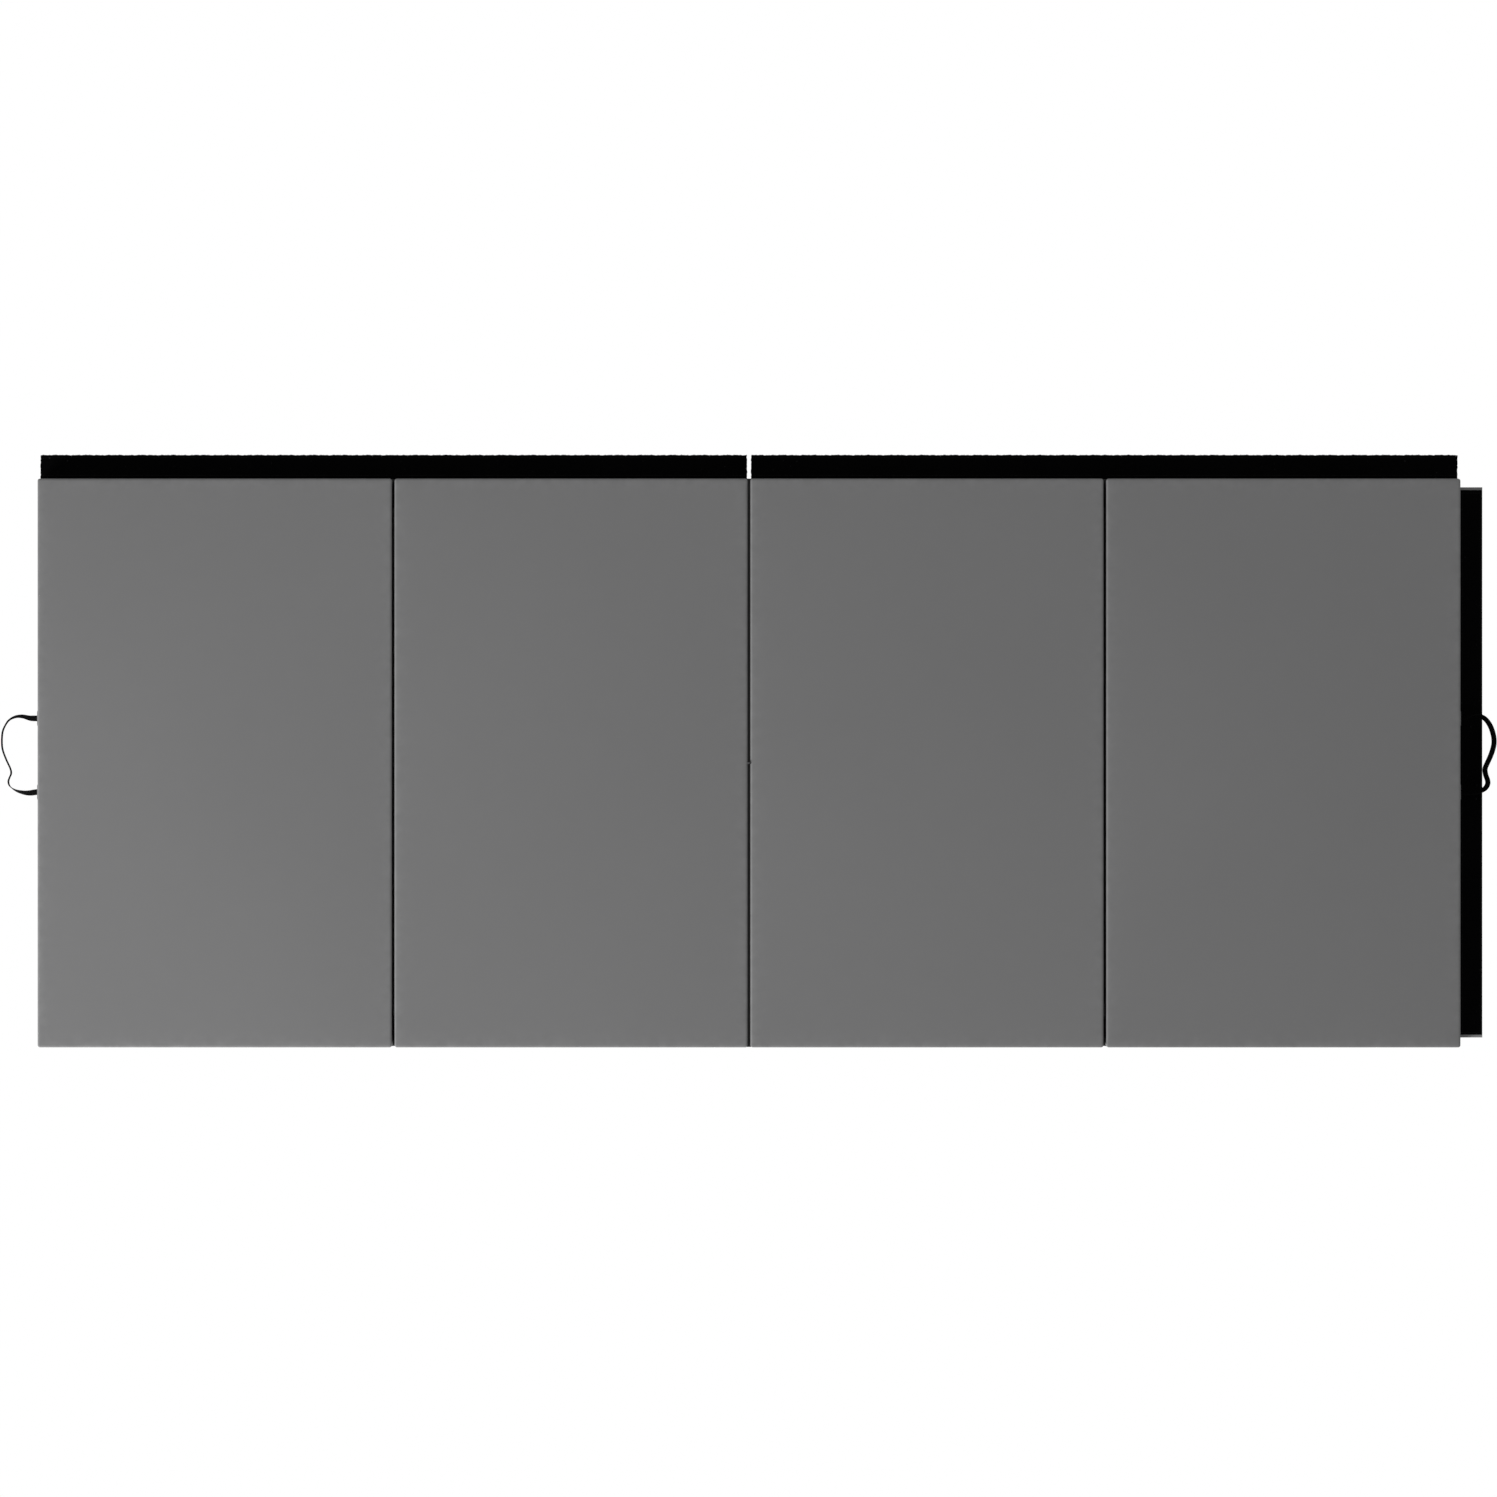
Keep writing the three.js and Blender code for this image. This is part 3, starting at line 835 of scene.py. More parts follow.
def make_top_sheet(number, sizes, colours):
    """A panel's top sheet: crowned, rolled over the panel's edge, and turned in at its seam."""
    cover = Box(f"top_cover_{number}")
    seam = top_seam(sizes, cover)
    sides = inset_sides(cover, SEAM_INSET)
    x, y, normal, turned = rolled(*sides, sizes.roll_width, sizes.cell, LIP)
    z, near = crowned_top(x, y, normal, turned, cover, sizes, number, seam)
    outer = np.stack([x, y, z], axis=-1)
    inner = outer - sizes.sheet * normal - np.array([0, 0, 0.0004]) * turned[..., None]
    piece = shell(f"top_sheet_{number}", outer, inner, cover_vinyl(colours), shares=near)
    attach(piece, f"panel_{number}")
    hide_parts(f"top_cover_{number}")


# How far the foam keeps inside the sewn case, at its sides and under the top sheet, and how round its
# edges are.
FOAM_INSET = 0.0014
FOAM_UNDER = 0.0016
FOAM_EDGE = 0.008
FOAM_EDGE_DROP = 0.006
FOAM_LOWER_EDGE = 0.004


def make_foam_block(number, sizes, colours):
    """A panel's foam block, a little smaller than its cover, with its edges pressed round by the sewn
    case."""
    core = Box(f"foam_core_{number}")
    cover = Box(f"top_cover_{number}")
    x, y, normal, turned = rolled(*inset_sides(core, FOAM_INSET), FOAM_EDGE, sizes.cell * 2)
    edge = top_seam(sizes, cover) - FOAM_EDGE_DROP
    z, _ = crowned_top(x, y, normal, turned, cover, sizes, number, edge)
    upper = np.stack([x, y, z - FOAM_UNDER - sizes.pucker * 0.5], axis=-1)
    lower = np.stack([x, y, core.z0 + FOAM_LOWER_EDGE * (1 - normal[..., 2])], axis=-1)
    piece = shell(f"foam_block_{number}", upper, lower, foam_finish(colours))
    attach(piece, f"panel_{number}")
    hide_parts(f"foam_core_{number}")


def ring(box, radius, step):
    """A closed path round a box in plan, with round corners, counter-clockwise from the front left: points,
    outward normals and the distance along it."""
    corners = [(box.x1, box.y0, -90), (box.x1, box.y1, 0), (box.x0, box.y1, 90), (box.x0, box.y0, 180)]
    points = []
    normals = []
    for cx, cy, start in corners:
        turn = np.radians(start + np.linspace(0, 90, 9))
        direction = np.stack([np.cos(turn), np.sin(turn)], axis=1)
        centre = np.array([cx - math.copysign(radius, cx - box.x), cy - math.copysign(radius, cy - box.y)])
        arc = centre + radius * direction
        if points:
            side = bridge(points[-1][-1], arc[0], step)
            points.append(side)
            normals.append(np.repeat(direction[:1], len(side), axis=0))
        points.append(arc)
        normals.append(direction)
    side = bridge(points[-1][-1], points[0][0], step)
    points.append(side)
    normals.append(np.repeat(normals[0][:1], len(side), axis=0))
    points = np.concatenate(points)
    normals = np.concatenate(normals)
    gaps = np.linalg.norm(np.diff(points, axis=0, append=points[:1]), axis=1)
    return points, normals, np.concatenate([[0], np.cumsum(gaps)])


def bridge(start, end, step):
    """Evenly spaced points strictly between two points."""
    count = max(2, round(np.linalg.norm(end - start) / step))
    share = np.linspace(0, 1, count + 1)[1:-1]
    return start + share[:, None] * (end - start)


# The slot in a wall that shows its zipper: how deep it is, how soft its edge is, how far it stops short
# of the zipper's ends and over what length it closes, and the hem sewn round it.
SLOT_DEPTH = 0.0010
SLOT_SOFT = 0.0005
SLOT_SHORT = 0.004
SLOT_CLOSE = 0.006
HEM_WIDTH = 0.0016
HEM_SOFT = 0.0012
HEM_PROUD = 0.00025
# The wall's seams lap the sheets by this much, its turned-in edges go down by this much, and its gathers
# fade.
SEAM_LAP = 0.0002
LIP_FALL = 0.0011
GATHER_FADE = 0.006
WALL_STEP = 0.0035


def make_side_wall(number, sizes, colours):
    """The wall sewn round a panel: a band carried round the rounded rectangle. Its outer face is pulled
    in at the seams by (2h-1)^4, h the share of its height, gathers along both seams, and steps back
    behind the zipper."""
    wall = Box(f"boxing_{number}")
    base = Box(f"bottom_cover_{number}")
    zipper = Box(f"zipper_{number}")
    cover = Box(f"top_cover_{number}")
    low = base.z1 - SEAM_LAP
    high = top_seam(sizes, cover)
    path, out, distance = ring(wall, PANEL_CORNER, sizes.cell)
    half = sizes.zip_opening / 2
    edges = [zipper.z + sign * (half + step) for sign in (-1, 1) for step in (0.0, SLOT_SOFT, HEM_SOFT)]
    levels = spaced(low, high, WALL_STEP, *edges)
    share = (levels - low) / (high - low)
    lip = LIP - sizes.seam_pull
    top_lip = [high - SEAM_LAP, high - LIP_FALL]
    z = np.concatenate([[low + SEAM_LAP], levels, top_lip, levels[::-1], [low + LIP_FALL]])
    pull = -sizes.seam_pull * (2 * share - 1) ** 4 - SEAM_LAP
    inward = np.concatenate([[-lip], pull, [-lip], [-lip], pull[::-1] - sizes.sheet, [-lip]])
    fade = np.exp(-np.minimum(levels - low, high - levels) / GATHER_FADE)
    near = np.concatenate([[1.0], fade, [1.0], [1.0], fade[::-1], [1.0]])
    faces_zip = out[:, 0] * ZIP_FACES[number] > 0.999
    behind = faces_zip * within(path[:, 1], zipper.y0 + SLOT_SHORT, zipper.y1 - SLOT_SHORT, SLOT_CLOSE)
    opening = within(z, zipper.z - half, zipper.z + half, SLOT_SOFT)
    hem = within(z, zipper.z - half - HEM_WIDTH, zipper.z + half + HEM_WIDTH, HEM_SOFT) - opening
    gather = ripple(distance[:-1], number + 20)
    offset = inward - sizes.pucker * gather[:, None] * near
    offset = offset + behind[:, None] * (HEM_PROUD * hem - SLOT_DEPTH * opening)
    x = path[:, :1] + out[:, :1] * offset
    y = path[:, 1:] + out[:, 1:] * offset
    points = np.stack([x, y, np.broadcast_to(z, x.shape)], axis=-1)
    across = np.append(np.cumsum(np.abs(np.diff(z, prepend=z[0]))), 0.09)
    piece = carried(
        f"side_wall_{number}", points, cover_vinyl(colours), distance, across, closed=True,
        shares=np.broadcast_to(near, x.shape)
    )
    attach(piece, f"panel_{number}")
    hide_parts(f"boxing_{number}")


def tape_pockets(number):
    """The hook tapes let into a panel's under side."""
    nodes = [f"front_hook_tape_{number}"]
    if number == 1:
        nodes.append("left_hook_tape")
    return [Box(node) for node in nodes]


# A panel's under side: the roll up to its seam, the lip turned in there, and the pockets of the hook
# tapes.
BASE_ROLL = 0.003
BASE_LIP = 0.002
POCKET_SOFT = 0.0012
POCKET_DEPTH = 0.00125


def pocket_lines(low, high):
    """Where a grid needs lines to show a pocket's two sides: each side and the foot of its slope."""
    return [low - POCKET_SOFT, low, high, high + POCKET_SOFT]


def make_base_sheet(number, sizes, colours):
    """A panel's under side: flat on the floor, rolled up to the lower seam, and let in where the hook
    tapes lie."""
    base = Box(f"bottom_cover_{number}")
    pockets = tape_pockets(number)
    extra_x = [line for p in pockets for line in pocket_lines(p.x0, p.x1)]
    extra_y = [line for p in pockets for line in pocket_lines(p.y0, p.y1)]
    sides = inset_sides(base, SEAM_INSET)
    x, y, normal, turned = rolled(*sides, BASE_ROLL, sizes.cell * 1.5, BASE_LIP, 5, extra_x, extra_y)
    raised = np.zeros_like(x)
    for p in pockets:
        raised = np.maximum(raised, within(x, p.x0, p.x1, POCKET_SOFT) * within(y, p.y0, p.y1, POCKET_SOFT))
    seam = base.z1
    z = seam - (seam - base.z0) * normal[..., 2] + POCKET_DEPTH * raised + 0.0002 * turned
    outer = np.stack([x, y, z], axis=-1)
    into_foam = normal * np.array([-1.0, -1.0, 1.0])
    inner = outer + sizes.sheet * into_foam + np.array([0, 0, 0.0003]) * turned[..., None]
    gap_x, gap_y = border_gap(x, y, base)
    near = np.exp(-np.maximum(np.minimum(gap_x, gap_y), 0) / SEAM_REACH)
    piece = shell(f"base_sheet_{number}", inner, outer, base_vinyl(colours), shares=near)
    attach(piece, f"panel_{number}")
    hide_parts(f"bottom_cover_{number}")


# A hook tape's strip: how far inside its CAD box it keeps, its rounded edge, and how far in its
# stitching runs.
HOOK_INSET = 0.0004
HOOK_LIFT = 0.00015
HOOK_ROUND = 0.002
HOOK_EDGE_RISE = 0.0005
HOOK_STEP = 0.006
HOOK_STITCH_INSET = 0.0032


def make_hook_strip(name, node, body, sizes, colours):
    """A hook tape under a panel: a strip with rounded edges, its hooks looking down, sewn on all four
    sides."""
    tape = Box(node)
    x, y, normal, _ = rolled(*inset_sides(tape, HOOK_INSET), HOOK_ROUND, HOOK_STEP)
    low = tape.z0 + HOOK_LIFT + HOOK_EDGE_RISE * (1 - normal[..., 2])
    outer = np.stack([x, y, low], axis=-1)
    inner = np.stack([x, y, np.full_like(x, tape.z1 - HAIR)], axis=-1)
    piece = shell(name, inner, outer, hook_finish(colours))
    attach(piece, body)
    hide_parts(node)
    level = tape.z0 + sizes.thread * 0.45
    sides = (tape.x0, tape.x1, tape.y0, tape.y1)
    rows = frame_rows(*sides, HOOK_STITCH_INSET, lambda a, b: (a, b, level))
    sewn = stitching(f"{name}_stitching", rows, (0, 0, -1), sizes, black_thread(colours))
    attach(sewn, body)


# ---- Zippers ----


# The zipper's coil stops short of its ends, and its turns are this wide, this high and slanted this much.
COIL_SHORT = 0.015
COIL_WIDTH = 0.0056
COIL_HEIGHT = 0.0013
COIL_SLANT = 0.10
TURN_SHARE = 0.72
# The two rows that hold the tape: their distance from the slot, and from the zipper's ends.
ZIP_ROW_GAP = 0.0022
ZIP_ROW_SHORT = 0.006
# The zipper's tape: how far it stops short at each end, and its thickness and rounding.
ZIP_TAPE_SHORT = 0.002
ZIP_TAPE_BUILD = (0.0006, 0.0005)
# Length, width, thickness and rounding of the slider's body and its bridge, then the pull's last three,
# and how far each of them stands off the wall.
SLIDER_BODY = (0.0115, 0.0088, 0.0014, 0.0016)
SLIDER_BRIDGE = (0.0078, 0.0024, 0.0009, 0.0009)
PULL_BUILD = (0.0062, 0.0009, 0.0010)
BODY_LIFT = 0.0009
BRIDGE_LIFT = 0.0021
PULL_LIFT = 0.0019
# How far the pull's root reaches over the body.
PULL_OVERLAP = 0.003


def zip_face(number):
    """Which way a panel's zipper looks, 1 or -1 along x, and the x of the wall that it is sewn in."""
    wall = Box(f"boxing_{number}")
    side = ZIP_FACES[number]
    return side, wall.x1 if side > 0 else wall.x0


def make_zipper(number, sizes, colours):
    """A zipper in its slot: woven tape, the coil's turns, and the stitching above and below."""
    body = f"panel_{number}"
    zipper = Box(f"zipper_{number}")
    side, face = zip_face(number)
    axes = end_axes(side)
    out = axes[2]
    middle = np.array([face - side * SLOT_DEPTH, zipper.y, zipper.z])
    tape_long = zipper.y1 - zipper.y0 - 2 * ZIP_TAPE_SHORT
    tape_wide = sizes.zip_opening - 2 * HAIR
    finish = zip_tape_finish(colours)
    tape = turned_plate(f"zip_tape_{number}", middle, axes, tape_long, tape_wide, *ZIP_TAPE_BUILD, finish)
    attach(tape, body)
    coil_x = face - side * HAIR
    coil_ends = [(coil_x, y, zipper.z) for y in (zipper.y0 + COIL_SHORT, zipper.y1 - COIL_SHORT)]
    places, _ = row_of_stitches(*coil_ends, sizes.tooth_pitch)
    points, faces = capsule(COIL_WIDTH, sizes.tooth_pitch * TURN_SHARE, COIL_HEIGHT, rings=4)
    slant = np.array([0, COIL_SLANT * side, 1.0]) / math.hypot(1.0, COIL_SLANT)
    turn_axes = np.repeat(np.stack([slant, np.cross(out, slant), out])[None], len(places), axis=0)
    coil = repeated(f"zip_coil_{number}", points, faces, places, turn_axes, enamel_finish(colours))
    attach(coil, body)
    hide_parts(f"zipper_{number}")
    x = face + side * HAIR
    ends = (zipper.y0 + ZIP_ROW_SHORT, zipper.y1 - ZIP_ROW_SHORT)
    gap = sizes.zip_opening / 2 + ZIP_ROW_GAP
    rows = [[(x, y, z) for y in ends] for z in (zipper.z - gap, zipper.z + gap)]
    sewn = stitching(f"zip_stitching_{number}", rows, out, sizes, gray_thread(colours))
    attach(sewn, body)


def make_slider(number, colours):
    """A zipper's slider with its pull: a waisted body over the coil, a bridge on it, and a flat tab with
    a shallow hollow, lying along the zipper."""
    slider = Box(f"zip_slider_{number}")
    side, face = zip_face(number)
    axes = end_axes(side)
    finish = enamel_finish(colours)

    def plate(name, y, lift, *sizes, **shape):
        return turned_plate(name, (face + side * lift, y, slider.z), axes, *sizes, finish, **shape)

    middle = slider.y0 + SLIDER_BODY[0] / 2
    parts = [
        plate("slider_body", middle, BODY_LIFT, *SLIDER_BODY, dome=0.0002, waist=0.22),
        plate("slider_bridge", middle, BRIDGE_LIFT, *SLIDER_BRIDGE)
    ]
    runner = joined(f"zip_runner_{number}", parts)
    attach(runner, f"zip_slider_{number}")
    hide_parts(f"zip_slider_{number}")
    pull_long = slider.y1 - slider.y0 - SLIDER_BODY[0] + PULL_OVERLAP
    middle = slider.y1 - pull_long / 2
    size = (pull_long, *PULL_BUILD)
    pull = plate(f"zip_pull_{number}", middle, PULL_LIFT, *size, dome=-0.0003, waist=0.12)
    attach(pull, f"zip_slider_{number}")


# ---- Hinges ----


# How far a hinge strip is tucked under the seams beside its groove, its thickness, and the dip of its
# # middle.
HINGE_TUCK = 0.0024
HINGE_THICKNESS = 0.0008
HINGE_DIP = {"12": -0.0006, "23": 0.0010, "34": -0.0006}
# How far the top strip lies under its seam and the others over theirs, how far they stop short of the
# cover's front and back, and the small wave along them.
HINGE_UNDER = 0.0008
HINGE_OVER = 0.0006
HINGE_SHORT = (0.0015, 0.0005)
HINGE_WAVE = 0.0003
HINGE_STEP = 0.008


def make_hinge(name, sizes, colours):
    """A hinge strip across a groove: between its seams it dips by dip (1 - (x/half)^2), and its edges lie
    under the panels' own seams."""
    web = Box(f"hinge_web_{name}")
    cover = Box("top_cover_2")
    base = Box("bottom_cover_2")
    seam = top_seam(sizes, cover) - HINGE_UNDER if name == TOP_HINGE else base.z1 + HINGE_OVER
    half = (web.x1 - web.x0) / 2 + HINGE_TUCK
    u = np.linspace(-half, half, 25)
    y = spaced(cover.y0 + HINGE_SHORT[0], cover.y1 - HINGE_SHORT[1], HINGE_STEP)
    across, along = np.meshgrid(u, y, indexing="ij")
    dip = HINGE_DIP[name] * np.clip(1 - (across / half) ** 2, 0, 1)
    z = seam - (dip + HINGE_WAVE * (ripple(along, 3) - 0.5))
    upper = np.stack([web.x + across, along, z + HINGE_THICKNESS / 2], axis=-1)
    lower = np.stack([web.x + across, along, z - HINGE_THICKNESS / 2], axis=-1)
    uv = np.stack([along, across], axis=-1)
    piece = shell(f"hinge_strip_{name}", upper, lower, hinge_finish(colours), uv)
    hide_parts(f"hinge_web_{name}")
    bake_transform(piece)


TACK_STRANDS = 4
TACK_STEP = 0.0009
TACK_RADIUS = 0.0005
# How far the tack reaches to each side of the groove, its height over the seam in the middle, and its
# fall.
TACK_REACH = 0.0052
TACK_HEIGHT = 0.0026
TACK_FALL = 0.0022


def make_seam_tack(sizes, colours):
    """A short bar tack that ties the two middle panels together across the top of their groove: round
    strands whose middle is at height - fall (u/reach)^2 above the seam, u the distance from the
    groove's middle."""
    web = Box(f"hinge_web_{TOP_HINGE}")
    seam = top_seam(sizes, Box("top_cover_2"))
    u = np.linspace(-TACK_REACH, TACK_REACH, 22)
    turn = np.linspace(0, math.tau, 8, endpoint=False)
    shape = (len(u), len(turn))
    x = np.broadcast_to(web.x + u[:, None], shape)
    middle = seam + TACK_HEIGHT - TACK_FALL * (u / u[-1]) ** 2
    z = middle[:, None] + TACK_RADIUS * np.sin(turn)
    along = np.append(u, u[-1])
    around = np.linspace(0, 0.003, len(turn) + 1)
    strands = []
    for strand in range(TACK_STRANDS):
        y = web.y + (strand - (TACK_STRANDS - 1) / 2) * TACK_STEP + TACK_RADIUS * np.cos(turn)
        points = np.stack([x, np.broadcast_to(y, shape), z], axis=-1)
        strands.append(carried(f"tack_strand_{strand}", points, tack_thread(colours), along, around))
    piece = joined("seam_tack", strands)
    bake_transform(piece)


# ---- Flaps ----


# A flap leaves the wall a little inside it, and has come down to the floor this far out.
FLAP_ROOT = -0.0012
FLAP_FALL = 0.0035
# Two flaps that meet leave half this gap each.
MEETING_GAP = 0.00001
# Where the loop tape starts, and where its stitching runs: from the wall, and from the tape's ends.
PILE_START = 0.0003
PILE_ROW = 0.0085
PILE_ROW_SHORT = 0.004
BACK_FAR_ROW = 0.0062
END_FAR_ROW = 0.0045
# The backing's share of the vinyl's thickness, and how far it keeps inside the loop tape's edge.
BACKING_SHARE = 0.8
BACKING_INSET = 0.0010
# Heights of the backing over its node's under side, and of the tape's root and its flat part about its
# middle.
BACKING_LEVEL = 0.0005
PILE_LEVELS = (0.0006, -0.0001)
# Distances between grid lines: along the tape, along the backing, and across both.
PILE_STEP = 0.0022
BACKING_STEP = 0.008
ACROSS_STEP = 0.0028
# A strip's wandering reaches this far in from a free end, its edge is this share of its thickness,
# thinning out between these distances from the edge, and wear reaches this far in.
END_REACH = 0.006
EDGE_SHARE = 0.45
EDGE_SOFT = (-0.0006, 0.0012)
WORN_REACH = 0.004


def flap_strip(name, ends, reach, levels, thickness, finish, turn, wander=0.0, seed=0, free=(1, 1)):
    """A strip that leaves a wall's lower seam, comes down to the floor and lies flat.

    With d the distance out from the wall and levels its heights at the wall and beyond, its middle is at
    level + (start - level) (1 - d/fall)^2 up to d = fall, and at level beyond. ends are its two ends
    along the wall, reach its two distances from it, and turn maps (along, out, up) to the frame. Its far
    edge and its free ends wander by fray times wander and thin out, and an end that isn't free butts
    against the next strip.
    """
    start_level, level = levels
    s = spaced(*ends, PILE_STEP if wander else BACKING_STEP)
    d = np.concatenate([np.linspace(reach[0], FLAP_FALL, 8)[:-1], spaced(FLAP_FALL, reach[1], ACROSS_STEP)])
    d = np.sort(np.append(d, reach[1] - 0.0005))
    along, out = np.meshgrid(s, d, indexing="ij")
    share = (out - reach[0]) / (reach[1] - reach[0])
    ragged = fray(along, seed) * wander * ease(share, 0.80, 1.0)
    at_start = free[0] * (1 - ease(along, ends[0], ends[0] + END_REACH))
    at_end = free[1] * ease(along, ends[1] - END_REACH, ends[1])
    along = along + (at_end - at_start) * fray(out, seed + 3) * wander * 0.8
    out = out + ragged
    fall = np.clip(1 - (out - reach[0]) / (FLAP_FALL - reach[0]), 0, 1)
    z = level + (start_level - level) * fall**2
    from_start = np.where(free[0], along - ends[0], 1.0)
    from_end = np.where(free[1], ends[1] - along, 1.0)
    edge = np.minimum(np.minimum(out - reach[0], reach[1] - out), np.minimum(from_start, from_end))
    thin = EDGE_SHARE + (1 - EDGE_SHARE) * ease(edge, *EDGE_SOFT)
    thin = np.where(share < 0.02, 1.0, thin)
    upper = turn(along, out, z + thickness / 2 * thin)
    lower = turn(along, out, z - thickness / 2)
    worn = 1 - ease(edge, 0.0, WORN_REACH)
    return shell(name, upper, lower, finish, np.stack([along, out], axis=-1), worn)


def behind_wall(wall_y):
    """Maps a flap strip behind a wall: along is +X and out is +Y."""

    def turn(along, out, up):
        return np.stack([along, wall_y + out, up], axis=-1)

    return turn


def beside_wall(wall_x):
    """Maps a flap strip beside the right wall: out is +X and along is -Y, so that its upper face looks
    up."""

    def turn(along, out, up):
        return np.stack([wall_x + out, -along, up], axis=-1)

    return turn


def make_flap_layers(names, node, tape, base, ends, far, turn, sizes, colours, wander, seed, free=(1, 1)):
    """A flap's vinyl backing and the loop tape on it. ends and far hold the backing's and then the
    tape's."""
    levels = (base.z1 - SEAM_LAP, Box(node).z0 + BACKING_LEVEL)
    vinyl_thickness = sizes.sheet * BACKING_SHARE
    backing = flap_strip(
        names[0], ends[0], (FLAP_ROOT, far[0]), levels, vinyl_thickness, cover_vinyl(colours), turn, free=free
    )
    levels = [tape.z + step for step in PILE_LEVELS]
    pile = flap_strip(
        names[1], ends[1], (PILE_START, far[1]), levels, tape.z1 - tape.z0, loop_finish(colours), turn,
        wander, seed, free
    )
    return backing, pile


def make_back_flap(number, sizes, colours):
    """A panel's back flap: vinyl backing sewn in the lower seam, with loop tape on it, bending at the
    floor."""
    backing = Box(f"back_flap_{number}")
    tape = Box(f"back_loop_tape_{number}")
    wall = Box(f"boxing_{number}")
    base = Box(f"bottom_cover_{number}")
    flap = f"back_flap_{number}"
    free = (1, 0) if number in (1, 3) else (0, 1)
    wander = sizes.selvage_wave
    meeting = Box("hinge_web_12" if number < 3 else "hinge_web_34").x
    spare = sizes.tape_spare if number in (1, 4) else 0.0
    first = backing.x0 - spare if free[0] else meeting + MEETING_GAP
    last = backing.x1 + spare if free[1] else meeting - MEETING_GAP
    far = backing.y1 + sizes.tape_proud - wall.y1
    vinyl_strip, pile = make_flap_layers(
        (f"flap_backing_{number}", f"flap_pile_{number}"), flap, tape, base,
        ((first + wander * free[0], last - wander * free[1]), (first, last)),
        (far - wander - BACKING_INSET, far), behind_wall(wall.y1), sizes, colours, wander, number, free
    )
    level = tape.z1 - HAIR
    row_ends = (first + PILE_ROW_SHORT, last - PILE_ROW_SHORT)
    rows = [[(x, wall.y1 + d, level) for x in row_ends] for d in (PILE_ROW, far - BACK_FAR_ROW)]
    sewn = stitching(f"flap_stitching_{number}", rows, (0, 0, 1), sizes, black_thread(colours))
    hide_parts(f"back_flap_{number}")
    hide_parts(f"back_loop_tape_{number}")
    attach(sewn, flap)
    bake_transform(vinyl_strip)
    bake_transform(pile)


# The loop tape's spare length at the end flap's front, and how much its straighter edge wanders.
END_SPARE = 0.0025
END_WAVE_SHARE = 0.16


def make_end_flap(sizes, colours):
    """The right end's flap: vinyl backing whose ends show past the loop tape, bending at the floor."""
    backing = Box("end_flap")
    tape = Box("end_loop_tape")
    wall = Box("boxing_4")
    base = Box("bottom_cover_4")
    far = backing.x1 + sizes.end_proud - wall.x1
    vinyl_strip, pile = make_flap_layers(
        ("end_backing", "end_pile"), "end_flap", tape, base,
        ((-backing.y1 - END_SPARE, -backing.y0), (-tape.y1 - END_SPARE, -tape.y0)), (far, far - 0.0004),
        beside_wall(wall.x1), sizes, colours, sizes.selvage_wave * END_WAVE_SHARE, 9
    )
    level = tape.z1 - HAIR
    row_x = (wall.x1 + PILE_ROW, wall.x1 + far - END_FAR_ROW)
    row_y = (tape.y0 + PILE_ROW_SHORT, tape.y1 - PILE_ROW_SHORT)
    rows = [[(x, y, level) for y in row_y] for x in row_x]
    rows += [[(x, y, level) for x in row_x] for y in row_y]
    sewn = stitching("end_stitching", rows, (0, 0, 1), sizes, black_thread(colours))
    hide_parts("end_flap")
    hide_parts("end_loop_tape")
    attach(sewn, "end_flap")
    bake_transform(vinyl_strip)
    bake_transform(pile)


# ---- Handles ----

# Each strap's line in plan, (out from the wall, across it) in millimetres, chosen as such a loop
# # lies.
STRAP_LINES = {
    "left": (
        (0, 70), (10, 70), (20.2, 70.5), (35.9, 74), (51, 73), (65, 66), (74, 54), (79.5, 40), (81, 20),
        (79, 2), (71, -19), (62.5, -37), (60.4, -48), (64, -57), (66.5, -66), (63, -76), (49.8, -85),
        (32.4, -89.5), (19.1, -90), (9, -88.5), (0, -87.5)
    ),
    "right": (
        (0, 70), (12, 71), (26.8, 75), (45.2, 75), (58.8, 67), (69, 52), (75, 34), (76.5, 18), (73.5, 3),
        (68, -12), (61.4, -26), (56.6, -38), (57.7, -50), (61.9, -62), (62.5, -70), (58.2, -78.5),
        (48.7, -85), (31.3, -90), (14, -90), (0, -88)
    )
}
STRAP_WIDTH = 0.025
STRAP_THICKNESS = 0.0016
STRAP_SAG = 0.009
# How far a strap's turned ends reach into its panel's wall, and the distance between its sections.
STRAP_ROOT = 0.0012
STRAP_STEP = 0.0022
# From a root on, the twist starts to go after the first of these distances, and the lean to come after
# the other.
TWIST_HOLD = 0.008
LEAN_START = 0.010
ROOT_TWIST = {"left": math.radians(27), "right": math.radians(20)}
ROOT_TWIST_REACH = {"left": 0.080, "right": 0.042}
LEAN = {"left": math.radians(1.5), "right": math.radians(-17)}
# The panel at each strap's end of the mat, and which way that end looks along x.
STRAP_ENDS = {"left": (1, -1.0), "right": (4, 1.0)}


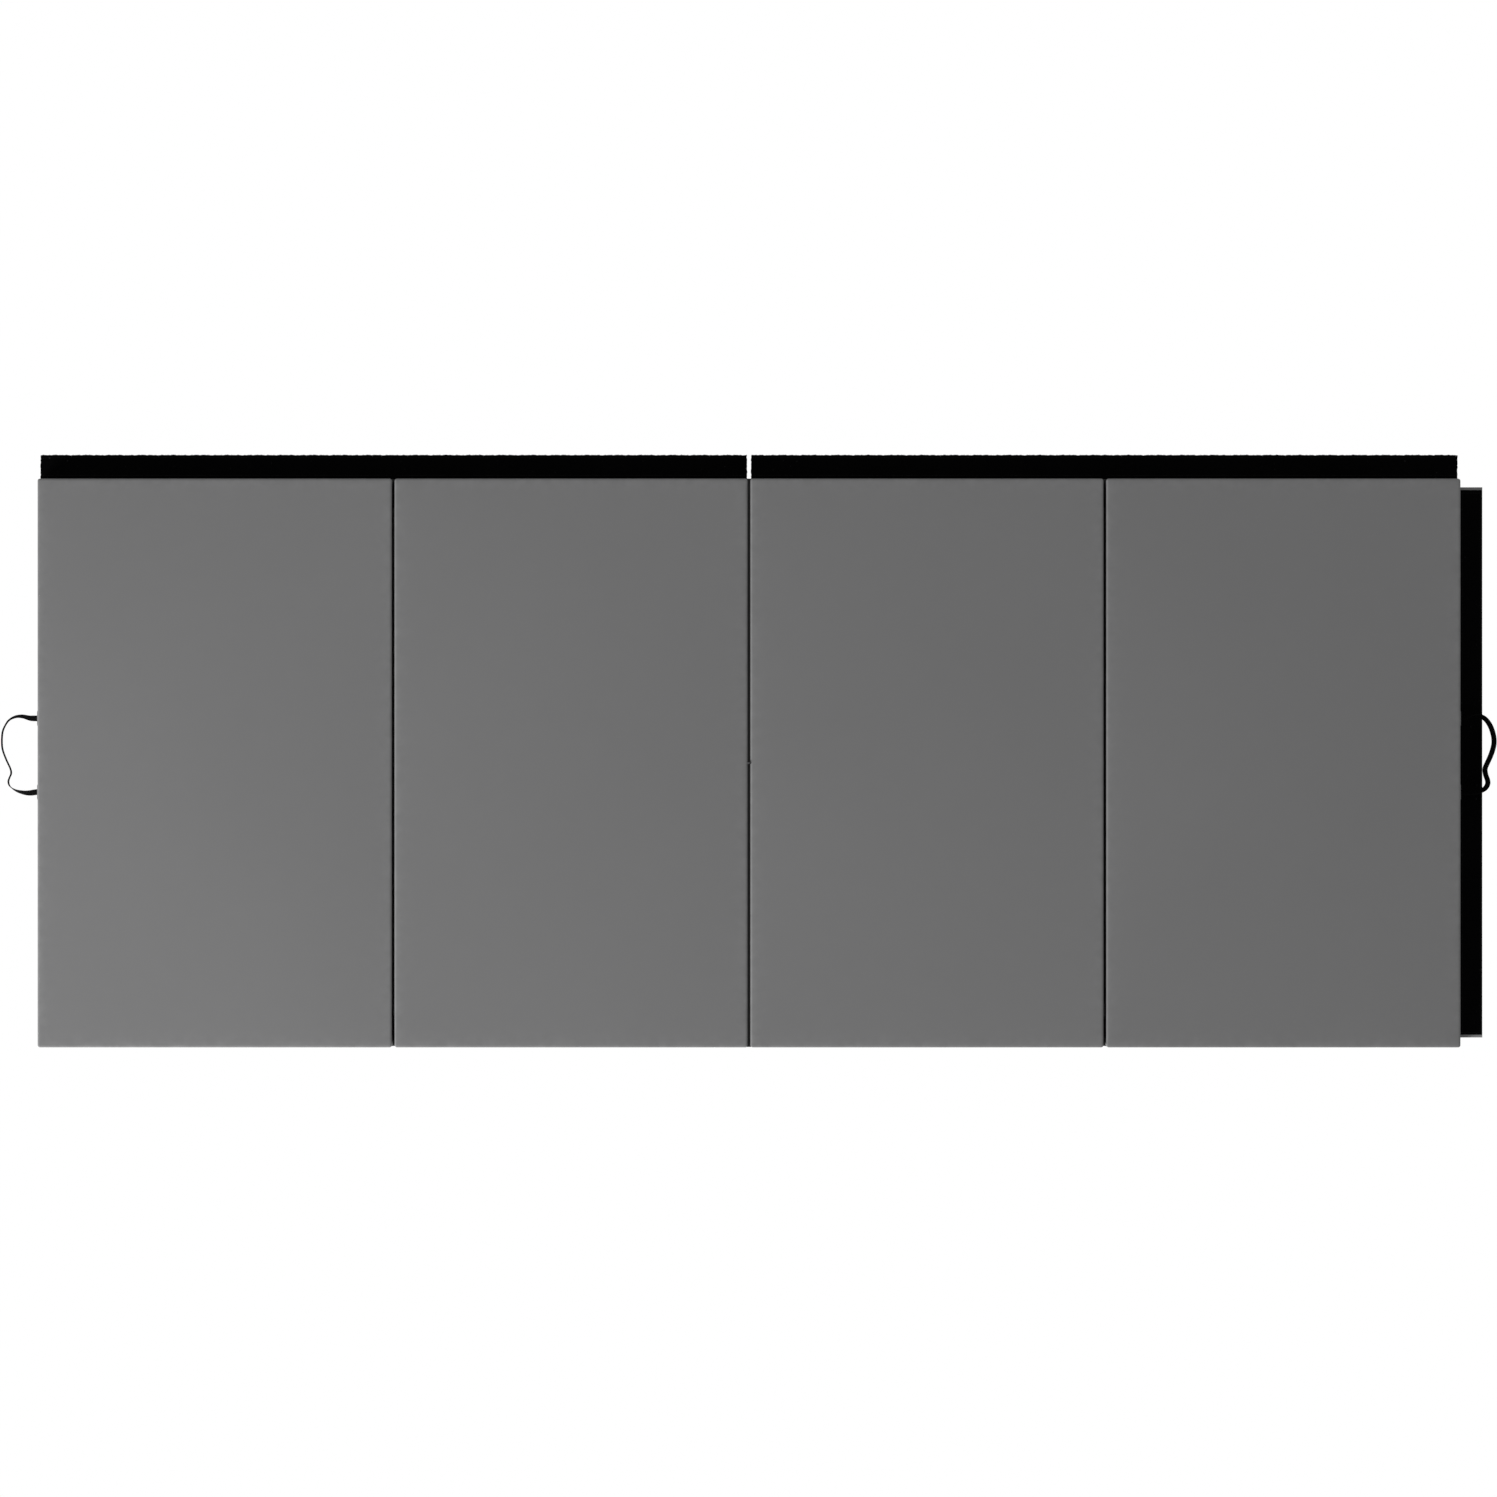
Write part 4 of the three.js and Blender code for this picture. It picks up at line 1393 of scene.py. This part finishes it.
def smooth_line(points, step):
    """Points a step apart along a smooth curve through the given ones: between p1 and p2 the curve is the
    Catmull-Rom cubic (2p1 + (p2-p0)t + (2p0-5p1+4p2-p3)t^2 + (3p1-p0-3p2+p3)t^3) / 2."""
    p = np.array(points, float)
    p = np.concatenate([2 * p[:1] - p[1:2], p, 2 * p[-1:] - p[-2:-1]])
    t = np.linspace(0, 1, 24, endpoint=False)[None, :, None]
    p0, p1, p2, p3 = (p[i : len(p) - 3 + i, None] for i in range(4))
    curve = (
        2 * p1 + (p2 - p0) * t + (2 * p0 - 5 * p1 + 4 * p2 - p3) * t**2 + (3 * p1 - p0 - 3 * p2 + p3) * t**3
    ) / 2
    curve = np.concatenate([curve.reshape(-1, p.shape[1]), p[-2:-1]])
    gone = np.concatenate([[0], np.cumsum(np.linalg.norm(np.diff(curve, axis=0), axis=1))])
    stops = np.linspace(0, gone[-1], round(gone[-1] / step) + 1)
    return np.stack([np.interp(stops, gone, curve[:, k]) for k in range(p.shape[1])], axis=1), stops


def strap_section():
    """Outline of the webbing's section, rise along its width and side across its thickness: two ribbed
    faces bowed by 1 - 0.1 (rise/half)^2 and two round edges."""
    half_t = STRAP_THICKNESS / 2
    half_w = STRAP_WIDTH / 2 - half_t
    bow = np.radians(np.linspace(-90, 90, 5))
    level = np.linspace(-half_w, half_w, 9)[1:-1]
    rib = 1 - 0.10 * (level / half_w) ** 2
    round_end = half_w + half_t * np.cos(bow)
    rise = np.concatenate([round_end, level[::-1], -round_end, level])
    side = np.concatenate([half_t * np.sin(bow), half_t * rib, -half_t * np.sin(bow), -half_t * rib])
    return rise, side


def make_strap(side, colours):
    """A handle strap: a flat section of webbing carried along its line, standing on edge.

    At distance s along it the section is turned about the line by lean + twist (1 - ease(s/reach)) near
    each root. Its middle sags by sag ((out - pivot)/(tip - pivot))^2, as webbing does under its own
    weight.
    """
    number, sign = STRAP_ENDS[side]
    wall = Box(f"boxing_{number}")
    handle = f"{side}_handle"
    pivot = joint_named(f"{side}_handle_swing")["pos_m"]
    face = wall.x0 if sign < 0 else wall.x1
    line, gone = smooth_line(np.array(STRAP_LINES[side]) * 0.001, STRAP_STEP)
    out, across = line[:, 0], line[:, 1]
    tip = out.max()
    arm = abs(pivot[0] - face)
    middle = pivot[2] - STRAP_SAG * np.clip((out - arm) / (tip - arm), 0, 1) ** 2
    centre = np.stack([face + sign * (out - STRAP_ROOT), across, middle], axis=1)
    tangent = np.gradient(centre, axis=0)
    tangent /= np.linalg.norm(tangent, axis=1)[:, None]
    level = np.cross(tangent, [0.0, 0.0, 1.0])
    level /= np.linalg.norm(level, axis=1)[:, None]
    upright = np.cross(level, tangent)
    from_root = np.minimum(gone, gone[-1] - gone)
    second_half = np.where(gone > gone[-1] / 2, -1.0, 1.0)
    reach = ROOT_TWIST_REACH[side]
    lean = LEAN[side] * ease(from_root, LEAN_START, reach) * sign
    twist = ROOT_TWIST[side] * (1 - ease(from_root, TWIST_HOLD, reach)) * second_half
    angle = lean + twist
    up = upright * np.cos(angle)[:, None] + level * np.sin(angle)[:, None]
    thick = np.cross(tangent, up)
    rise, bulge = strap_section()
    points = centre[:, None] + rise[None, :, None] * up[:, None] + bulge[None, :, None] * thick[:, None]
    steps = np.hypot(np.roll(rise, -1) - rise, np.roll(bulge, -1) - bulge)
    around = np.concatenate([[0], np.cumsum(steps)])
    worn = np.clip(np.abs(rise) / (STRAP_WIDTH / 2), 0, 1) ** 8
    shares = np.broadcast_to(worn, points.shape[:2])
    piece = carried(f"{side}_strap", points, webbing_finish(colours), gone, around, shares=shares)
    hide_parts(handle, f"{handle}_root_back", f"{handle}_root_front")
    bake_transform(piece)


# A patch's height and rounding, and how far in from its edges its two squares of stitching run.
PATCH_HEIGHT = 0.0012
PATCH_ROUND = 0.0022
PATCH_ROWS = (0.0030, 0.0052)
PATCH_SINK = 0.0003
PATCH_DOME = 0.0004
PATCH_THREAD = 0.0010


def make_patch(side, place, sizes, colours):
    """A vinyl patch under a strap's root, with rounded edges and a slight dome, sewn round in two
    squares."""
    number, sign = STRAP_ENDS[side]
    node = f"{side}_handle_patch_{place}"
    box = Box(node)
    axes = end_axes(sign)
    inner = box.x1 if sign < 0 else box.x0
    size = (box.y1 - box.y0, box.z1 - box.z0, PATCH_HEIGHT, PATCH_ROUND)
    origin = (inner - sign * PATCH_SINK, box.y, box.z)
    piece = turned_plate(f"{side}_patch_{place}", origin, axes, *size, cover_vinyl(colours), dome=PATCH_DOME)
    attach(piece, f"panel_{number}")
    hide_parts(node)
    x = inner + sign * PATCH_THREAD
    rows = []
    for inset in PATCH_ROWS:
        rows += frame_rows(box.y0, box.y1, box.z0, box.z1, inset, lambda y, z: (x, y, z))
    sewn = stitching(f"{side}_patch_{place}_stitching", rows, axes[2], sizes, black_thread(colours))
    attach(sewn, f"panel_{number}")


# ---- Stage ----

CAMERA_LENS = 135.0
SENSOR = 36.0
VIEW_WIDTH = 3.2042
VIEW_CENTRE = (-0.0011, 0.0054)
FLOOR_HALF = 30.0
# The surround's light on the mat, and its brightness as the camera sees it.
SURROUND_LIGHT = 0.505
SURROUND_SEEN = 1.0
# The key light: its turn from +X towards +Y, its rise above the floor, its distance, its side and its
# power.
KEY_TURN = math.radians(220.0)
KEY_RISE = math.radians(12.0)
KEY_DISTANCE = 8.0
KEY_SIZE = 3.0
KEY_POWER = 1400.0
# The share of the key light that shiny surfaces mirror: the rest only lights them.
KEY_GLOSS = 0.14


def floor_finish():
    """A white floor that lights what stands on it. Seen by the camera it is clear, so that a panel folded
    below the floor's level still shows against the white surround."""
    made = bpy.data.materials.new("floor white")
    made.use_nodes = True
    tree = made.node_tree
    tree.nodes.remove(tree.nodes["Principled BSDF"])
    seen = put(tree, "ShaderNodeLightPath").outputs["Is Camera Ray"]
    white = put(tree, "ShaderNodeBsdfDiffuse", {"Color": (0.8, 0.8, 0.8, 1.0)})
    clear = put(tree, "ShaderNodeBsdfTransparent")
    mixed = put(tree, "ShaderNodeMixShader", {0: seen, 1: white.outputs[0], 2: clear.outputs[0]})
    tree.links.new(mixed.outputs[0], tree.nodes["Material Output"].inputs["Surface"])
    return made


def surround(strength, seen_strength):
    """A white surround: even and full white where the camera sees it, softer where it lights the mat."""
    world = bpy.data.worlds.new("white surround")
    bpy.context.scene.world = world
    world.use_nodes = True
    tree = world.node_tree
    seen = put(tree, "ShaderNodeLightPath").outputs["Is Camera Ray"]
    level = put(tree, "ShaderNodeMapRange", {"Value": seen, "To Min": strength, "To Max": seen_strength})
    background = tree.nodes["Background"]
    background.inputs["Color"].default_value = (1.0, 1.0, 1.0, 1.0)
    tree.links.new(level.outputs[0], background.inputs["Strength"])


def softbox(name, power):
    """A square area light at the key light's place, which looks at the mat's middle."""
    data = bpy.data.lights.new(name, "AREA")
    data.shape = "RECTANGLE"
    data.size = KEY_SIZE
    data.size_y = KEY_SIZE
    data.energy = power
    lamp = bpy.data.objects.new(name, data)
    bpy.context.scene.collection.objects.link(lamp)
    level = math.cos(KEY_RISE)
    direction = (level * math.cos(KEY_TURN), level * math.sin(KEY_TURN), math.sin(KEY_RISE))
    lamp.location = Vector(direction) * KEY_DISTANCE
    lamp.rotation_euler = (-lamp.location).to_track_quat("-Z", "Y").to_euler()
    lamp.visible_camera = False
    return lamp


# ---- Operators ----


class MAT_OT_stage(bpy.types.Operator):
    """Make the floor, the surround, the lights and the camera"""

    bl_idname = "gym_mat.stage"
    bl_label = "Stage"

    def execute(self, context):
        scene = context.scene
        scene.view_settings.view_transform = "Standard"
        mesh = bpy.data.meshes.new("floor")
        h = FLOOR_HALF
        mesh.from_pydata([(-h, -h, 0), (h, -h, 0), (h, h, 0), (-h, h, 0)], [], [(0, 1, 2, 3)])
        mesh.materials.append(floor_finish())
        floor = bpy.data.objects.new("floor", mesh)
        scene.collection.objects.link(floor)
        surround(SURROUND_LIGHT, SURROUND_SEEN)
        softbox("key softbox", KEY_POWER * (1 - KEY_GLOSS)).visible_glossy = False
        softbox("key softbox gloss", KEY_POWER * KEY_GLOSS)
        data = bpy.data.cameras.new("overhead camera")
        data.lens = CAMERA_LENS
        data.sensor_width = SENSOR
        camera = bpy.data.objects.new("overhead camera", data)
        scene.collection.objects.link(camera)
        height = CAD_BOX[1].z + VIEW_WIDTH * CAMERA_LENS / SENSOR
        camera.location = (*VIEW_CENTRE, height)
        scene.camera = camera
        return {"FINISHED"}


class MAT_OT_foam_blocks(bpy.types.Operator):
    """Make the foam block inside each panel"""

    bl_idname = "gym_mat.foam_blocks"
    bl_label = "Foam blocks"

    def execute(self, context):
        for number in PANELS:
            make_foam_block(number, context.scene.mat_sizes, context.scene.mat_colours)
        return {"FINISHED"}


class MAT_OT_top_sheets(bpy.types.Operator):
    """Make each panel's crowned top sheet"""

    bl_idname = "gym_mat.top_sheets"
    bl_label = "Top sheets"

    def execute(self, context):
        for number in PANELS:
            make_top_sheet(number, context.scene.mat_sizes, context.scene.mat_colours)
        return {"FINISHED"}


class MAT_OT_side_walls(bpy.types.Operator):
    """Make the wall sewn round each panel"""

    bl_idname = "gym_mat.side_walls"
    bl_label = "Side walls"

    def execute(self, context):
        for number in PANELS:
            make_side_wall(number, context.scene.mat_sizes, context.scene.mat_colours)
        return {"FINISHED"}


class MAT_OT_base_sheets(bpy.types.Operator):
    """Make each panel's under side and the hook tapes let into it"""

    bl_idname = "gym_mat.base_sheets"
    bl_label = "Base sheets and hook tapes"

    def execute(self, context):
        sizes = context.scene.mat_sizes
        colours = context.scene.mat_colours
        for number in PANELS:
            make_base_sheet(number, sizes, colours)
            make_hook_strip(
                f"hook_strip_{number}", f"front_hook_tape_{number}", f"panel_{number}", sizes, colours
            )
        make_hook_strip("end_hook_strip", "left_hook_tape", "panel_1", sizes, colours)
        return {"FINISHED"}


class MAT_OT_zippers(bpy.types.Operator):
    """Make each panel's zipper and its slider"""

    bl_idname = "gym_mat.zippers"
    bl_label = "Zippers"

    def execute(self, context):
        for number in PANELS:
            make_zipper(number, context.scene.mat_sizes, context.scene.mat_colours)
            make_slider(number, context.scene.mat_colours)
        return {"FINISHED"}


class MAT_OT_hinges(bpy.types.Operator):
    """Make the strips that join the panels, and the tack across the middle groove"""

    bl_idname = "gym_mat.hinges"
    bl_label = "Hinge strips"

    def execute(self, context):
        for name in HINGES:
            make_hinge(name, context.scene.mat_sizes, context.scene.mat_colours)
        make_seam_tack(context.scene.mat_sizes, context.scene.mat_colours)
        return {"FINISHED"}


class MAT_OT_back_flaps(bpy.types.Operator):
    """Make the fastening flaps along the back edge"""

    bl_idname = "gym_mat.back_flaps"
    bl_label = "Back flaps"

    def execute(self, context):
        for number in PANELS:
            make_back_flap(number, context.scene.mat_sizes, context.scene.mat_colours)
        return {"FINISHED"}


class MAT_OT_end_flap(bpy.types.Operator):
    """Make the fastening flap at the right end"""

    bl_idname = "gym_mat.end_flap"
    bl_label = "End flap"

    def execute(self, context):
        make_end_flap(context.scene.mat_sizes, context.scene.mat_colours)
        return {"FINISHED"}


class MAT_OT_handles(bpy.types.Operator):
    """Make the two handle straps and the patches under their roots"""

    bl_idname = "gym_mat.handles"
    bl_label = "Handles"

    def execute(self, context):
        for side in ("left", "right"):
            make_strap(side, context.scene.mat_colours)
            for place in ("back", "front"):
                make_patch(side, place, context.scene.mat_sizes, context.scene.mat_colours)
        return {"FINISHED"}


MAKERS = (
    MAT_OT_stage, MAT_OT_foam_blocks, MAT_OT_top_sheets, MAT_OT_side_walls, MAT_OT_base_sheets,
    MAT_OT_zippers, MAT_OT_hinges, MAT_OT_back_flaps, MAT_OT_end_flap, MAT_OT_handles
)


class MAT_PT_gym_mat(bpy.types.Panel):
    """Lists the mat's operators, sizes and colours"""

    bl_idname = "MAT_PT_gym_mat"
    bl_label = "Folding Gym Mat"
    bl_space_type = "VIEW_3D"
    bl_region_type = "UI"
    bl_category = "Gym Mat"

    def draw(self, context):
        for maker in MAKERS:
            self.layout.operator(maker.bl_idname)
        for group in (context.scene.mat_sizes, context.scene.mat_colours):
            column = self.layout.column(align=True)
            for key in group.__annotations__:
                column.prop(group, key)


CLASSES = (MatSizes, MatColours, *MAKERS, MAT_PT_gym_mat)


def register():
    """Registers the classes and hangs the property groups on the scene."""
    for item in CLASSES:
        bpy.utils.register_class(item)
    bpy.types.Scene.mat_sizes = bpy.props.PointerProperty(type=MatSizes)
    bpy.types.Scene.mat_colours = bpy.props.PointerProperty(type=MatColours)


def unregister():
    """Takes everything that register added away again."""
    del bpy.types.Scene.mat_colours
    del bpy.types.Scene.mat_sizes
    for item in reversed(CLASSES):
        bpy.utils.unregister_class(item)


def main():
    """Makes the stage and every piece."""
    register()
    for maker in MAKERS:
        group, name = maker.bl_idname.split(".")
        getattr(getattr(bpy.ops, group), name)()


if __name__ == "__main__":
    main()
